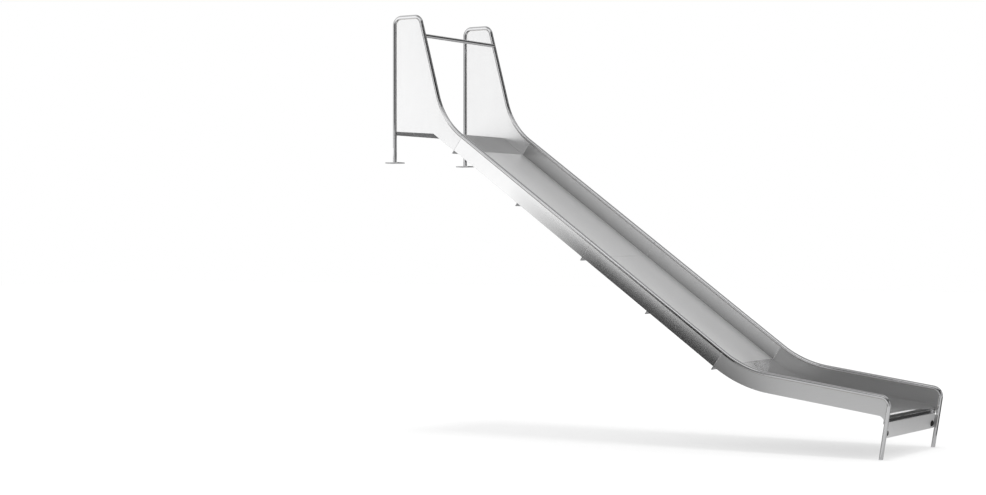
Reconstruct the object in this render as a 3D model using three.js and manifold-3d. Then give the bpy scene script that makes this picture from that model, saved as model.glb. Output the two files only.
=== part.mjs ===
import * as THREE from 'three';
import { mergeVertices } from 'three/addons/utils/BufferGeometryUtils.js';
import Module from 'manifold-3d';

const wasm = await Module();
wasm.setup();

// Embankment slide in stainless sheet and tube, in millimetres.
// +X runs downhill, +Y runs across to the slider's left, and +Z is up from the ground at the exit.

// Width, tubes and sheet
const railGauge = 1000;
const tubeRadius = 15;
const tubeWall = 2;
const sheetThickness = 2.5;
const sideDepth = 130;
const startSideDepth = 132.5;
const floorDepth = 125.5;
const panelDrop = 11;

// Falls and leans in degrees
const frontRailFall = 74.9;
const chuteFall = 35.7;
const runoutFall = 8.2;
const platformFall = 4.1;
const legLean = 9.1;

// Runs between the corner points of the rail's centre line
const exitRailHeight = 417.5;
const runoutLength = 1078;
const jointTail = 14;
const lowerChuteLength = 1310;
const upperChuteLength = 1386;
const frontRailLength = 841;
const topRailLength = 236;
const platformLength = 357;
const postDepth = 250;
const guardBarDrop = 150;

// Bend radii on the rail's centre line, and on the upper face of the floors
const cornerRadius = 60;
const startBendRadius = 550;
const exitBendRadius = 800;
const kinkRadius = 20;
const lipRadius = 10;
const noseRadius = 30;
const webRadius = 45;

// Ends of the floors
const lipDepth = 40;
const noseSetback = 6;
const noseLip = 25;
const webToe = 2;

// Joints between the modules
const seamGap = 1;
const spigotLength = 28;
const spigotWall = 2;
const spigotClearance = 0.5;
const angleLeg = 30;
const angleThickness = 3;
const seamBoltRadius = 4;
const seamBoltHead = 7.5;
const seamBoltHeadHeight = 5.3;
const seamBoltTip = 8;
const seamBoltShares = [-0.38, 0, 0.38];

// Cross plate between the legs, with its brackets, bolts and caps
const crossPlateLap = 7;
const crossPlateHeight = 109;
const bracketThickness = 4;
const bracketLength = 80;
const bracketHeight = 92;
const bracketDepth = 26;
const bracketDrop = 12;
const capDrop = 73;
const capInset = 45;
const coverBoltRadius = 5;
const coverBoltHead = 9.8;
const coverBoltHeadHeight = 6.4;
const coverBoltTip = 4;
const nutRadius = 9.8;
const nutHeight = 8;
const capRadius = 22;
const capHeight = 15;
const capWall = 3;

// Feet
const plugLength = 25;
const anchorLength = 120;
const anchorWidth = 100;
const anchorThickness = 8;
const anchorHoleRadius = 6.5;
const anchorHoleInset = 18;

// Fit and facets
const seat = 0.3;
const overrun = 20;
const facetSag = 0.5;
const tubeSides = 12;
const boltSides = 12;
const hexSides = 6;
const capSides = 16;
const capRings = 5;

// Finishes
const brushedSheet = { color: 0xc6c8ca, roughness: 0.38, metalness: 1 };
const polishedTube = { color: 0xd6d8da, roughness: 0.22, metalness: 1 };
const dullSteel = { color: 0x9a9ea1, roughness: 0.5, metalness: 1 };
const blackPlastic = { color: 0x151515, roughness: 0.45, metalness: 0 };

// Plane geometry of the side view: a Vector2 holds X and Z
const radians = THREE.MathUtils.degToRad;

function headingAt(fall) {
  return new THREE.Vector2(Math.cos(radians(fall)), -Math.sin(radians(fall)));
}

function leftOf(heading) {
  return new THREE.Vector2(-heading.y, heading.x);
}

function along(point, heading, distance) {
  return point.clone().addScaledVector(heading, distance);
}

function below(point, heading, depth) {
  return along(point, leftOf(heading), -depth);
}

function crossing(pointA, headingA, pointB, headingB) {
  const gap = pointB.clone().sub(pointA);
  return along(pointA, headingA, gap.cross(headingB) / headingA.cross(headingB));
}

function bendTangent(radius, turn) {
  return radius * Math.tan(radians(turn) / 2);
}

// Stations along straight runs joined by round bends, each with the heading of the path there
function bentPath(corners, radii) {
  const headings = corners.slice(1).map((corner, i) => corner.clone().sub(corners[i]).normalize());
  const stations = [{ point: corners[0], heading: headings[0] }];
  radii.forEach((radius, i) => {
    const incoming = headings[i];
    const turn = Math.atan2(incoming.cross(headings[i + 1]), incoming.dot(headings[i + 1]));
    const start = along(corners[i + 1], incoming, -radius * Math.tan(Math.abs(turn) / 2));
    const centre = along(start, leftOf(incoming), Math.sign(turn) * radius);
    const steps = Math.ceil(Math.abs(turn) / (2 * Math.sqrt(2 * facetSag / radius)));
    for (let step = 0; step <= steps; step++) {
      const heading = incoming.clone().rotateAround(new THREE.Vector2(), turn * step / steps);
      stations.push({ point: along(centre, leftOf(heading), -Math.sign(turn) * radius), heading });
    }
  });
  stations.push({ point: corners.at(-1), heading: headings.at(-1) });
  return stations;
}

function offsetPoints(stations, depth) {
  return stations.map(({ point, heading }) => below(point, heading, depth));
}

// A curve whose rings lie exactly at the stations, so that the straight runs stay straight
class StationCurve extends THREE.Curve {
  constructor(stations) {
    super();
    this.stations = stations;
  }

  stationAt(share) {
    return this.stations[Math.round(share * (this.stations.length - 1))];
  }

  getPointAt(share) {
    const { point } = this.stationAt(share);
    return new THREE.Vector3(point.x, 0, point.y);
  }

  getTangentAt(share) {
    const { heading } = this.stationAt(share);
    return new THREE.Vector3(heading.x, 0, heading.y);
  }
}

// A round section, hollow where it has a bore
function roundSection(radius, bore) {
  const section = new THREE.Shape().absarc(0, 0, radius, 0, 2 * Math.PI);
  if (bore > 0) section.holes.push(new THREE.Path().absarc(0, 0, bore, 0, 2 * Math.PI, true));
  return section;
}

function bentTube(stations, radius, bore) {
  return new THREE.ExtrudeGeometry(roundSection(radius, bore), {
    extrudePath: new StationCurve(stations),
    steps: stations.length - 1,
    curveSegments: tubeSides / 2,
  });
}

// A side-view outline pushed across the slide, centred on the plane of the outline
function acrossSlide(outline, width, curveSegments = 1) {
  const shape = outline instanceof THREE.Shape ? outline : new THREE.Shape(outline);
  const geometry = new THREE.ExtrudeGeometry(shape, { depth: width, bevelEnabled: false, curveSegments });
  return geometry.rotateX(Math.PI / 2).translate(0, width / 2, 0);
}

// A bent strip of sheet with its upper face on the path
function bentSheet(stations, width) {
  const upper = offsetPoints(stations, 0);
  const under = offsetPoints(stations, sheetThickness).reverse();
  return acrossSlide([...upper, ...under], width);
}

// Solids for cuts and joins
function toSolid(geometry) {
  const bare = geometry.clone();
  bare.deleteAttribute('normal');
  bare.deleteAttribute('uv');
  const merged = mergeVertices(bare);
  return new wasm.Manifold(new wasm.Mesh({
    numProp: 3,
    vertProperties: merged.attributes.position.array,
    triVerts: Uint32Array.from(merged.index.array),
  }));
}

function toGeometry(solid) {
  const { vertProperties, triVerts } = solid.getMesh();
  const geometry = new THREE.BufferGeometry();
  geometry.setAttribute('position', new THREE.BufferAttribute(vertProperties, 3));
  geometry.setIndex(new THREE.BufferAttribute(triVerts, 1));
  geometry.computeVertexNormals();
  return geometry;
}

function cut(geometry, ...cutters) {
  return toGeometry(cutters.reduce((solid, cutter) => solid.subtract(toSolid(cutter)), toSolid(geometry)));
}

function join(geometry, other) {
  return toGeometry(toSolid(geometry).add(toSolid(other)));
}

function place(parent, name, geometry, finish, x = 0, y = 0, z = 0) {
  const mesh = new THREE.Mesh(geometry, new THREE.MeshStandardMaterial(finish));
  mesh.name = name;
  mesh.position.set(x, y, z);
  parent.add(mesh);
}

// A frame at a point of the side view, with its X along a fall
function frameAt(parent, point, fall) {
  const frame = new THREE.Group();
  frame.position.set(point.x, 0, point.y);
  frame.rotation.y = radians(fall);
  parent.add(frame);
  return frame;
}

// Corner points of the rail, worked up from the exit
const chuteHeading = headingAt(chuteFall);
const runoutHeading = headingAt(runoutFall);
const frontHeading = headingAt(frontRailFall);
const platformHeading = headingAt(platformFall);
const legHeading = headingAt(90 + legLean);
const levelHeading = headingAt(0);

const legCorner = new THREE.Vector2(0, exitRailHeight);
const legFoot = along(legCorner, legHeading, exitRailHeight / Math.cos(radians(legLean)));
const exitCorner = along(legCorner, runoutHeading, -runoutLength);
const exitRise = bendTangent(exitBendRadius, chuteFall - runoutFall) + jointTail;
const exitSeam = along(exitCorner, chuteHeading, -exitRise);
const middleSeam = along(exitSeam, chuteHeading, -lowerChuteLength);
const startSeam = along(middleSeam, chuteHeading, -upperChuteLength);
const startRise = bendTangent(startBendRadius, frontRailFall - chuteFall) + jointTail;
const bendCorner = along(startSeam, chuteHeading, -startRise);
const frontTop = along(bendCorner, frontHeading, -frontRailLength);
const rearTop = along(frontTop, levelHeading, -topRailLength);

// Where the platform's floor meets the chute's floor
const kinkAxis = along(rearTop, levelHeading, platformLength);
const plumb = headingAt(90);
const startFloor = below(startSeam, chuteHeading, floorDepth);
const floorKink = crossing(startFloor, chuteHeading, kinkAxis, plumb);
const platformRear = crossing(floorKink, platformHeading, rearTop, plumb);
const postFoot = along(platformRear, plumb, postDepth);

// Widths that follow the gauge
const halfGauge = railGauge / 2;
const tubeBore = tubeRadius - tubeWall;
const underFloor = -(floorDepth + sheetThickness + seat);
const seamBoltDrop = -(angleLeg + angleThickness) / 2;
const sheetEdge = tubeRadius + seat;
const floorWidth = railGauge - sheetThickness - 2 * seat;
const sides = [['right', -1], ['left', 1]];

const slide = new THREE.Group();

// Start module: two tall side panels in bent tube, the platform and the guard bar
const startRadii = [cornerRadius, cornerRadius, startBendRadius];

function startRail() {
  const end = along(startSeam, chuteHeading, -seamGap / 2);
  const corners = [postFoot, rearTop, frontTop, bendCorner, end];
  return bentTube(bentPath(corners, startRadii), tubeRadius, tubeBore);
}

function startPanel() {
  const end = along(startSeam, chuteHeading, -seamGap / 2);
  const rearBottom = below(platformRear, platformHeading, panelDrop);
  const rear = crossing(rearBottom, platformHeading, rearTop, plumb);
  const chuteBottom = below(end, chuteHeading, startSideDepth);
  const kink = crossing(rearBottom, platformHeading, chuteBottom, chuteHeading);
  const corners = [rear, rearTop, frontTop, bendCorner, end];
  const edge = offsetPoints(bentPath(corners, startRadii), sheetEdge);
  edge[0] = crossing(rearBottom, platformHeading, edge[0], plumb);
  return acrossSlide([...edge, chuteBottom, kink], sheetThickness);
}

function startFloorSheet() {
  const rear = crossing(platformRear, platformHeading, along(rearTop, levelHeading, sheetEdge), plumb);
  const end = along(startFloor, chuteHeading, -seamGap / 2);
  const corners = [along(rear, plumb, lipDepth), rear, floorKink, end];
  return bentSheet(bentPath(corners, [lipRadius, kinkRadius]), floorWidth);
}

function guardBar() {
  const point = along(frontTop, frontHeading, guardBarDrop / Math.sin(radians(frontRailFall)));
  const bar = acrossSlide(roundSection(tubeRadius, tubeBore), railGauge, tubeSides / 2);
  bar.translate(point.x, 0, point.y);
  const ends = [-1, 1].map((end) => along(point, frontHeading, end * 2 * tubeRadius));
  const rail = bentTube(bentPath(ends, []), sheetEdge, 0);
  const copes = sides.map(([, side]) => rail.clone().translate(0, side * halfGauge, 0));
  return cut(bar, ...copes);
}

function anchorPlate() {
  const plate = new THREE.BoxGeometry(anchorLength, anchorWidth, anchorThickness);
  const holes = [];
  for (const x of [-1, 1]) {
    for (const y of [-1, 1]) {
      const hole = new THREE.CylinderGeometry(
        anchorHoleRadius, anchorHoleRadius, anchorThickness + overrun, boltSides);
      hole.rotateX(Math.PI / 2);
      hole.translate(x * (anchorLength / 2 - anchorHoleInset), y * (anchorWidth / 2 - anchorHoleInset), 0);
      holes.push(hole);
    }
  }
  return cut(plate, ...holes);
}

// An angle across the underside of a floor, its upright leg at X = 0; side turns it uphill or downhill
function crossAngle(side, holeShares) {
  const corner = side * angleThickness;
  const tip = side * angleLeg;
  const outline = [
    new THREE.Vector2(0, 0),
    new THREE.Vector2(tip, 0),
    new THREE.Vector2(tip, -angleThickness),
    new THREE.Vector2(corner, -angleThickness),
    new THREE.Vector2(corner, -angleLeg),
    new THREE.Vector2(0, -angleLeg),
  ];
  const holes = holeShares.map((share) => {
    const hole = new THREE.CylinderGeometry(seamBoltRadius + seat, seamBoltRadius + seat, overrun, boltSides);
    return hole.rotateZ(Math.PI / 2).translate(0, share * floorWidth, seamBoltDrop);
  });
  return cut(acrossSlide(outline, floorWidth), ...holes);
}

// A bolt along X with the underside of its head at X = 0 and its shank towards +X
function hexBolt(radius, headRadius, headHeight, length) {
  const head = new THREE.CylinderGeometry(headRadius, headRadius, headHeight, hexSides);
  const shank = new THREE.CylinderGeometry(radius, radius, headHeight + length, boltSides);
  head.translate(0, headHeight / 2, 0);
  shank.translate(0, (headHeight - length) / 2, 0);
  return join(head, shank).rotateZ(Math.PI / 2);
}

function hexNut() {
  const outline = [];
  for (let corner = 0; corner < hexSides; corner++) {
    const angle = 2 * Math.PI * corner / hexSides;
    outline.push(new THREE.Vector2(nutRadius * Math.cos(angle), nutRadius * Math.sin(angle)));
  }
  const section = new THREE.Shape(outline);
  const bore = coverBoltRadius + seat;
  section.holes.push(new THREE.Path().absarc(0, 0, bore, 0, 2 * Math.PI, true));
  const settings = { depth: nutHeight, bevelEnabled: false, curveSegments: boltSides / 2 };
  return new THREE.ExtrudeGeometry(section, settings).rotateY(-Math.PI / 2);
}

function boltCap() {
  const profile = [];
  for (let ring = 0; ring <= capRings; ring++) {
    const angle = Math.PI / 2 * (1 - ring / capRings);
    const inner = capRadius - capWall;
    profile.push(new THREE.Vector2(inner * Math.cos(angle), (capHeight - capWall) * Math.sin(angle)));
  }
  for (let ring = 0; ring <= capRings; ring++) {
    const angle = Math.PI / 2 * ring / capRings;
    profile.push(new THREE.Vector2(capRadius * Math.cos(angle), capHeight * Math.sin(angle)));
  }
  profile[0].x = 0;
  profile.at(-1).x = 0;
  return new THREE.LatheGeometry(profile, capSides).rotateZ(-Math.PI / 2);
}

function addStart(parent) {
  const anchorZ = postFoot.y - seat - anchorThickness / 2;
  for (const [name, side] of sides) {
    place(parent, `${name}_start_rail`, startRail(), polishedTube, 0, side * halfGauge);
    place(parent, `${name}_start_panel`, startPanel(), brushedSheet, 0, side * halfGauge);
    place(parent, `${name}_anchor_plate`, anchorPlate(), dullSteel, postFoot.x, side * halfGauge, anchorZ);
  }
  place(parent, 'start_floor', startFloorSheet(), brushedSheet);
  place(parent, 'guard_bar', guardBar(), polishedTube);
  const middle = platformRear.clone().lerp(floorKink, 1 / 2);
  const frame = frameAt(parent, middle, platformFall);
  place(frame, 'start_floor_stiffener', crossAngle(1, []), dullSteel, 0, 0, -(sheetThickness + seat));
}

// Straight chute module between two seams
function addChute(parent, name, start, length) {
  const frame = frameAt(parent, start, chuteFall);
  const run = length - seamGap;
  const rail = bentPath([new THREE.Vector2(), new THREE.Vector2(run, 0)], []);
  const wallHeight = sideDepth - sheetEdge;
  for (const [sideName, side] of sides) {
    const y = side * halfGauge;
    const wall = new THREE.BoxGeometry(run, sheetThickness, wallHeight).translate(0, 0, -wallHeight / 2);
    const tube = bentTube(rail, tubeRadius, tubeBore);
    place(frame, `${sideName}_${name}_rail`, tube, polishedTube, seamGap / 2, y);
    place(frame, `${sideName}_${name}_wall`, wall, brushedSheet, length / 2, y, -sheetEdge);
  }
  const floor = new THREE.BoxGeometry(run, floorWidth, sheetThickness);
  place(frame, `${name}_floor`, floor, brushedSheet, length / 2, 0, -(floorDepth + sheetThickness / 2));
  place(frame, `${name}_stiffener`, crossAngle(1, []), dullSteel, length / 2, 0, underFloor);
}

// Seam between two modules: a bolted pair of angles under the floor and a spigot in each rail
function addSeam(parent, name, point) {
  const frame = frameAt(parent, point, chuteFall);
  const spigotRun = [new THREE.Vector2(-spigotLength / 2, 0), new THREE.Vector2(spigotLength / 2, 0)];
  const spigotRadius = tubeBore - spigotClearance;
  for (const [sideName, side] of sides) {
    const sleeve = bentTube(bentPath(spigotRun, []), spigotRadius, spigotRadius - spigotWall);
    place(frame, `${name}_${sideName}_spigot`, sleeve, dullSteel, 0, side * halfGauge);
  }
  place(frame, `${name}_upper_angle`, crossAngle(-1, seamBoltShares), dullSteel, -seamGap / 2, 0, underFloor);
  place(frame, `${name}_lower_angle`, crossAngle(1, seamBoltShares), dullSteel, seamGap / 2, 0, underFloor);
  const headSeat = -(seamGap / 2 + angleThickness + seat);
  const boltLength = seamGap + 2 * angleThickness + seat + seamBoltTip;
  seamBoltShares.forEach((share, i) => {
    const bolt = hexBolt(seamBoltRadius, seamBoltHead, seamBoltHeadHeight, boltLength);
    const z = underFloor + seamBoltDrop;
    place(frame, `${name}_bolt_${i + 1}`, bolt, dullSteel, headSeat, share * floorWidth, z);
  });
}

// Exit module: the run-out with its rolled nose, on two legs bent down from the rails
const exitStart = along(exitSeam, chuteHeading, seamGap / 2);
const exitFloorStart = below(exitStart, chuteHeading, floorDepth);
const runoutFloorPoint = below(legCorner, runoutHeading, floorDepth);
const exitFloorCorner = crossing(exitFloorStart, chuteHeading, runoutFloorPoint, runoutHeading);
const noseLine = below(legCorner, legHeading, tubeRadius + noseSetback);
const noseCorner = crossing(runoutFloorPoint, runoutHeading, noseLine, legHeading);
const noseTurn = 90 + legLean - runoutFall;
const noseEnd = along(noseCorner, legHeading, bendTangent(noseRadius, noseTurn) + noseLip);

function aboveGround(geometry) {
  const block = 2 * (overrun + tubeRadius);
  const ground = new THREE.BoxGeometry(block, block, block).translate(legFoot.x, 0, -block / 2);
  return cut(geometry, ground);
}

function exitRail() {
  const corners = [exitStart, exitCorner, legCorner, along(legFoot, legHeading, overrun)];
  return aboveGround(bentTube(bentPath(corners, [exitBendRadius, cornerRadius]), tubeRadius, tubeBore));
}

function footPlug() {
  const run = [along(legFoot, legHeading, -plugLength), along(legFoot, legHeading, overrun)];
  return aboveGround(bentTube(bentPath(run, []), tubeBore - seat, 0));
}

function exitWall() {
  const bottomStart = below(exitStart, chuteHeading, sideDepth);
  const bottomPoint = below(legCorner, runoutHeading, sideDepth);
  const bottomCorner = crossing(bottomStart, chuteHeading, bottomPoint, runoutHeading);
  const webLine = below(legCorner, legHeading, sheetEdge + webToe);
  const webCorner = crossing(bottomPoint, runoutHeading, webLine, legHeading);
  const webEnd = along(webCorner, legHeading, bendTangent(webRadius, noseTurn));
  const lowerRadii = [exitBendRadius + sideDepth, webRadius];
  const lower = bentPath([bottomStart, bottomCorner, webCorner, webEnd], lowerRadii);
  const upperEnd = crossing(legCorner, legHeading, webEnd, leftOf(legHeading));
  const upper = bentPath([exitStart, exitCorner, legCorner, upperEnd], [exitBendRadius, cornerRadius]);
  const outline = [...offsetPoints(upper, sheetEdge), ...offsetPoints(lower, 0).reverse()];
  return acrossSlide(outline, sheetThickness);
}

function exitFloorSheet() {
  const corners = [exitFloorStart, exitFloorCorner, noseCorner, noseEnd];
  return bentSheet(bentPath(corners, [exitBendRadius + floorDepth, noseRadius]), floorWidth);
}

// Cross plate and its brackets stand in the frame of the leg: Z up the leg, X square to it, downhill.
// The lip of the nose runs down behind the top of the plate, and the brackets stand clear below it.
const noseHeight = legFoot.clone().sub(noseEnd).dot(legHeading);
const crossPlateTop = noseHeight + crossPlateLap;
const crossPlateFront = -(tubeRadius + seat);
const crossPlateBack = crossPlateFront - sheetThickness;
const bracketSide = halfGauge - tubeRadius - seat;
const crossPlateHalf = bracketSide - bracketThickness - seat;
const capHeightUpLeg = crossPlateTop - capDrop;
const bracketMiddle = crossPlateTop - bracketDrop - bracketHeight / 2;
const capOffset = crossPlateHalf - capInset;

function alongX(radius, length) {
  return new THREE.CylinderGeometry(radius, radius, length, boltSides).rotateZ(Math.PI / 2);
}

function crossPlate() {
  const plate = new THREE.BoxGeometry(sheetThickness, 2 * crossPlateHalf, crossPlateHeight);
  plate.translate(crossPlateBack + sheetThickness / 2, 0, crossPlateTop - crossPlateHeight / 2);
  const holes = sides.map(([, side]) => {
    const hole = alongX(coverBoltRadius + seat, overrun);
    return hole.translate(crossPlateFront, side * capOffset, capHeightUpLeg);
  });
  return cut(plate, ...holes);
}

// One arm lies behind the cross plate, and the other reaches forward to the leg
function legBracket(side) {
  const armBack = crossPlateBack - seat - bracketThickness;
  const arm = new THREE.BoxGeometry(bracketThickness, bracketLength, bracketHeight);
  arm.translate(armBack + bracketThickness / 2, side * (bracketSide - bracketLength / 2), bracketMiddle);
  const web = new THREE.BoxGeometry(bracketDepth, bracketThickness, bracketHeight);
  web.translate(armBack + bracketDepth / 2, side * (bracketSide - bracketThickness / 2), bracketMiddle);
  const hole = alongX(coverBoltRadius + seat, overrun);
  return cut(join(arm, web), hole.translate(armBack, side * capOffset, capHeightUpLeg));
}

function addExit(parent) {
  for (const [name, side] of sides) {
    const y = side * halfGauge;
    place(parent, `${name}_exit_rail`, exitRail(), polishedTube, 0, y);
    place(parent, `${name}_exit_wall`, exitWall(), brushedSheet, 0, y);
    place(parent, `${name}_foot_plug`, footPlug(), dullSteel, 0, y);
  }
  place(parent, 'exit_floor', exitFloorSheet(), brushedSheet);
  const frame = frameAt(parent, legFoot, legLean);
  place(frame, 'cross_plate', crossPlate(), brushedSheet);
  const stack = seat + sheetThickness + seat + bracketThickness + seat;
  const boltLength = stack + nutHeight + coverBoltTip;
  for (const [name, side] of sides) {
    const y = side * capOffset;
    const bolt = hexBolt(coverBoltRadius, coverBoltHead, coverBoltHeadHeight, boltLength).rotateY(Math.PI);
    place(frame, `${name}_leg_bracket`, legBracket(side), dullSteel);
    place(frame, `${name}_cover_bolt`, bolt, dullSteel, crossPlateFront + seat, y, capHeightUpLeg);
    place(frame, `${name}_cover_nut`, hexNut(), dullSteel, crossPlateFront + seat - stack, y, capHeightUpLeg);
    place(frame, `${name}_bolt_cap`, boltCap(), blackPlastic, crossPlateFront + seat, y, capHeightUpLeg);
  }
}

addStart(slide);
addChute(slide, 'upper_chute', startSeam, upperChuteLength);
addChute(slide, 'lower_chute', middleSeam, lowerChuteLength);
addExit(slide);
addSeam(slide, 'start_seam', startSeam);
addSeam(slide, 'middle_seam', middleSeam);
addSeam(slide, 'exit_seam', exitSeam);

// The origin lies on the ground, midway along the slide and between its rails
const reach = new THREE.Box3().setFromObject(slide);
slide.position.x = -(reach.min.x + reach.max.x) / 2;

export default slide;
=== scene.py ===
# %% [markdown]
# # A wide slide in stainless steel
#
# The real slide is thin sheet and bent tube, welded into four modules that are bolted together where it
# stands. The CAD model holds every piece at its true place and size. Here each gets its final surface:
# smooth bends in place of facets, softened edges, weld beads, and finishes.

# %% Load the packed slide
import math

import bmesh
import bpy
from mathutils import Matrix, Vector


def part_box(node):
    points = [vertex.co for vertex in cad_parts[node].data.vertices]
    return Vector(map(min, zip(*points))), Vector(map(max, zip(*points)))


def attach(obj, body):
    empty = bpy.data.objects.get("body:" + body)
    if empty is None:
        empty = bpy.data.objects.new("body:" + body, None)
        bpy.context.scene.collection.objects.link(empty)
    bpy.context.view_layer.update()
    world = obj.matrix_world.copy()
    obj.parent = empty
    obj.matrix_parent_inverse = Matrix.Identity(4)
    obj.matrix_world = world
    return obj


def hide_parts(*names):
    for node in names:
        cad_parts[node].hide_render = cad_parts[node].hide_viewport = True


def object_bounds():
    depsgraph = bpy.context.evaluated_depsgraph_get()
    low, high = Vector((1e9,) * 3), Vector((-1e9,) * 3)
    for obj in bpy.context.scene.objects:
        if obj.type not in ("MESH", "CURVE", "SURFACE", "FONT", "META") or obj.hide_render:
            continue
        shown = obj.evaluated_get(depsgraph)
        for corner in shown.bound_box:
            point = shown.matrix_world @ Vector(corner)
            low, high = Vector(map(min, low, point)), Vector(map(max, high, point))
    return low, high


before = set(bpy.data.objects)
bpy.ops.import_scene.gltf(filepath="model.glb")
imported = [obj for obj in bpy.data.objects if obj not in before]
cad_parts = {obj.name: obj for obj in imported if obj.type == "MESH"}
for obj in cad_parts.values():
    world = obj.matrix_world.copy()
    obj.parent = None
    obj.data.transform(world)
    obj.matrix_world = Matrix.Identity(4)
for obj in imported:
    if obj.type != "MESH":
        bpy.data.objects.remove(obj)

cad_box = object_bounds()
cad_sides = [round(side, 3) for side in cad_box[1] - cad_box[0]]
print(len(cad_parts), "CAD pieces in a box of", cad_sides, "m")

# %% [markdown]
# ## Camera
#
# The photo is taken from the slide's right, a little past its exit, at eye height and with a long lens. A
# camera could be moved about until the picture looks right. Here its place, yaw and lens come from a fit of
# the rails, walls and posts, so what still differs is the model's.

# %% Camera
CAMERA_PLACE = Vector((7.0548, -13.3946, 1.4898))
CAMERA_YAW = 32.303
CAMERA_PITCH = -0.254
FOCAL_LENGTH_PIXELS = 2025.24
PHOTO_WIDTH_PIXELS = 986
SENSOR_WIDTH = 36.0


def add_object(name, data):
    """Puts an object with this data into the scene."""
    made = bpy.data.objects.new(name, data)
    bpy.context.scene.collection.objects.link(made)
    return made


lens = bpy.data.cameras.new("camera")
lens.sensor_width = SENSOR_WIDTH
lens.lens = SENSOR_WIDTH * FOCAL_LENGTH_PIXELS / PHOTO_WIDTH_PIXELS
camera = add_object("camera", lens)
camera.location = CAMERA_PLACE
camera.rotation_euler = (math.radians(90 + CAMERA_PITCH), 0, math.radians(CAMERA_YAW))
bpy.context.scene.camera = camera
print("lens of", round(lens.lens, 1), "mm")

# %% [markdown]
# ## Driving sizes
#
# These are the sizes that the slide is made to, in metres. They could be measured off the frame, but the
# smooth pieces have to lie exactly where the faceted ones are, so they repeat the CAD model's own. A size
# that only one step needs stands in that step.

# %% Driving sizes
RAIL_GAUGE = 1.0
TUBE_RADIUS = 0.015
SHEET = 0.0025
SIDE_DEPTH = 0.130
FLOOR_DEPTH = 0.1255
SEAM_GAP = 0.001
SEAT = 0.0003

HALF_GAUGE = RAIL_GAUGE / 2
SHEET_EDGE = TUBE_RADIUS + SEAT
FLOOR_WIDTH = RAIL_GAUGE - SHEET - 2 * SEAT
SIDES = (("right", -1), ("left", 1))
print("clear width between the walls", round(1000 * (RAIL_GAUGE - SHEET)), "mm")

# %% [markdown]
# ## Side view
#
# Tube and sheet are all bent in one plane, so a piece is a path in the side view, pushed or swept across.
# Curves could carry the path, but points that are worked out can be offset and cut to meet each other
# exactly, as the real pieces do.

# %% Lines in the side view
def heading_at(fall):
    """The direction that falls by this angle below the level."""
    return Vector((math.cos(math.radians(fall)), -math.sin(math.radians(fall))))


def left_of(heading):
    return Vector((-heading.y, heading.x))


def below(point, heading, depth):
    return point - left_of(heading) * depth


def cross_of(a, b):
    return a.x * b.y - a.y * b.x


def crossing(point_a, heading_a, point_b, heading_b):
    """Where two lines meet."""
    return point_a + heading_a * (cross_of(point_b - point_a, heading_b) / cross_of(heading_a, heading_b))


level_heading = heading_at(0)
plumb = heading_at(90)
print("plumb is", [round(value, 3) for value in plumb])

# %% [markdown]
# ## Bends
#
# A tube bender leaves true arcs between straight runs. A path is a list of stations, each a point and the
# heading there. Its arcs are cut much finer than the CAD model's, so that a reflection runs round them
# without a step.

# %% Bends
BEND_STEP = math.radians(1.5)


def bend_tangent(radius, turn):
    """How far before its corner a bend begins."""
    return radius * math.tan(math.radians(turn) / 2)


def bend(corner, incoming, outgoing, radius, steps=None):
    """The stations round one bend, from one heading to the next."""
    turn = math.atan2(cross_of(incoming, outgoing), incoming.dot(outgoing))
    side = math.copysign(radius, turn)
    start = corner - incoming * radius * math.tan(abs(turn) / 2)
    centre = start + left_of(incoming) * side
    steps = steps or max(1, math.ceil(abs(turn) / BEND_STEP))
    stations = []
    for step in range(steps + 1):
        angle = turn * step / steps
        heading = incoming * math.cos(angle) + left_of(incoming) * math.sin(angle)
        stations.append((centre - left_of(heading) * side, heading))
    return stations


def bent_path(corners, radii):
    """Stations along straight runs joined by round bends."""
    headings = [(b - a).normalized() for a, b in zip(corners, corners[1:])]
    stations = [(corners[0], headings[0])]
    for corner, radius, incoming, outgoing in zip(corners[1:], radii, headings, headings[1:]):
        stations += bend(corner, incoming, outgoing, radius)
    stations.append((corners[-1], headings[-1]))
    return stations


def offset_points(stations, depth):
    return [below(point, heading, depth) for point, heading in stations]


print("a square bend has", len(bend(Vector((0, 0)), level_heading, plumb, TUBE_RADIUS)), "stations")

# %% [markdown]
# ## Corner points of the rail
#
# The rail shows the slide's whole shape: post, top, front, chute, run-out and leg. Its corners could be
# typed in. Here they follow from falls and lengths, counted from the leg upwards, so that a changed length
# moves all that hangs on it, as in the workshop.

# %% Falls and lengths
FRONT_RAIL_FALL = 74.9
CHUTE_FALL = 35.7
RUNOUT_FALL = 8.2
PLATFORM_FALL = 4.1
LEG_LEAN = 9.1
EXIT_RAIL_HEIGHT = 0.4175
RUNOUT_LENGTH = 1.078
LOWER_CHUTE_LENGTH = 1.310
UPPER_CHUTE_LENGTH = 1.386
FRONT_RAIL_LENGTH = 0.841
TOP_RAIL_LENGTH = 0.236
PLATFORM_LENGTH = 0.357
POST_DEPTH = 0.250
START_BEND_RADIUS = 0.550
EXIT_BEND_RADIUS = 0.800
JOINT_TAIL = 0.014

chute_heading = heading_at(CHUTE_FALL)
runout_heading = heading_at(RUNOUT_FALL)
front_heading = heading_at(FRONT_RAIL_FALL)
platform_heading = heading_at(PLATFORM_FALL)
leg_heading = heading_at(90 + LEG_LEAN)
print("from post to leg the rail turns by", round(90 + LEG_LEAN + 90, 1), "degrees")

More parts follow.
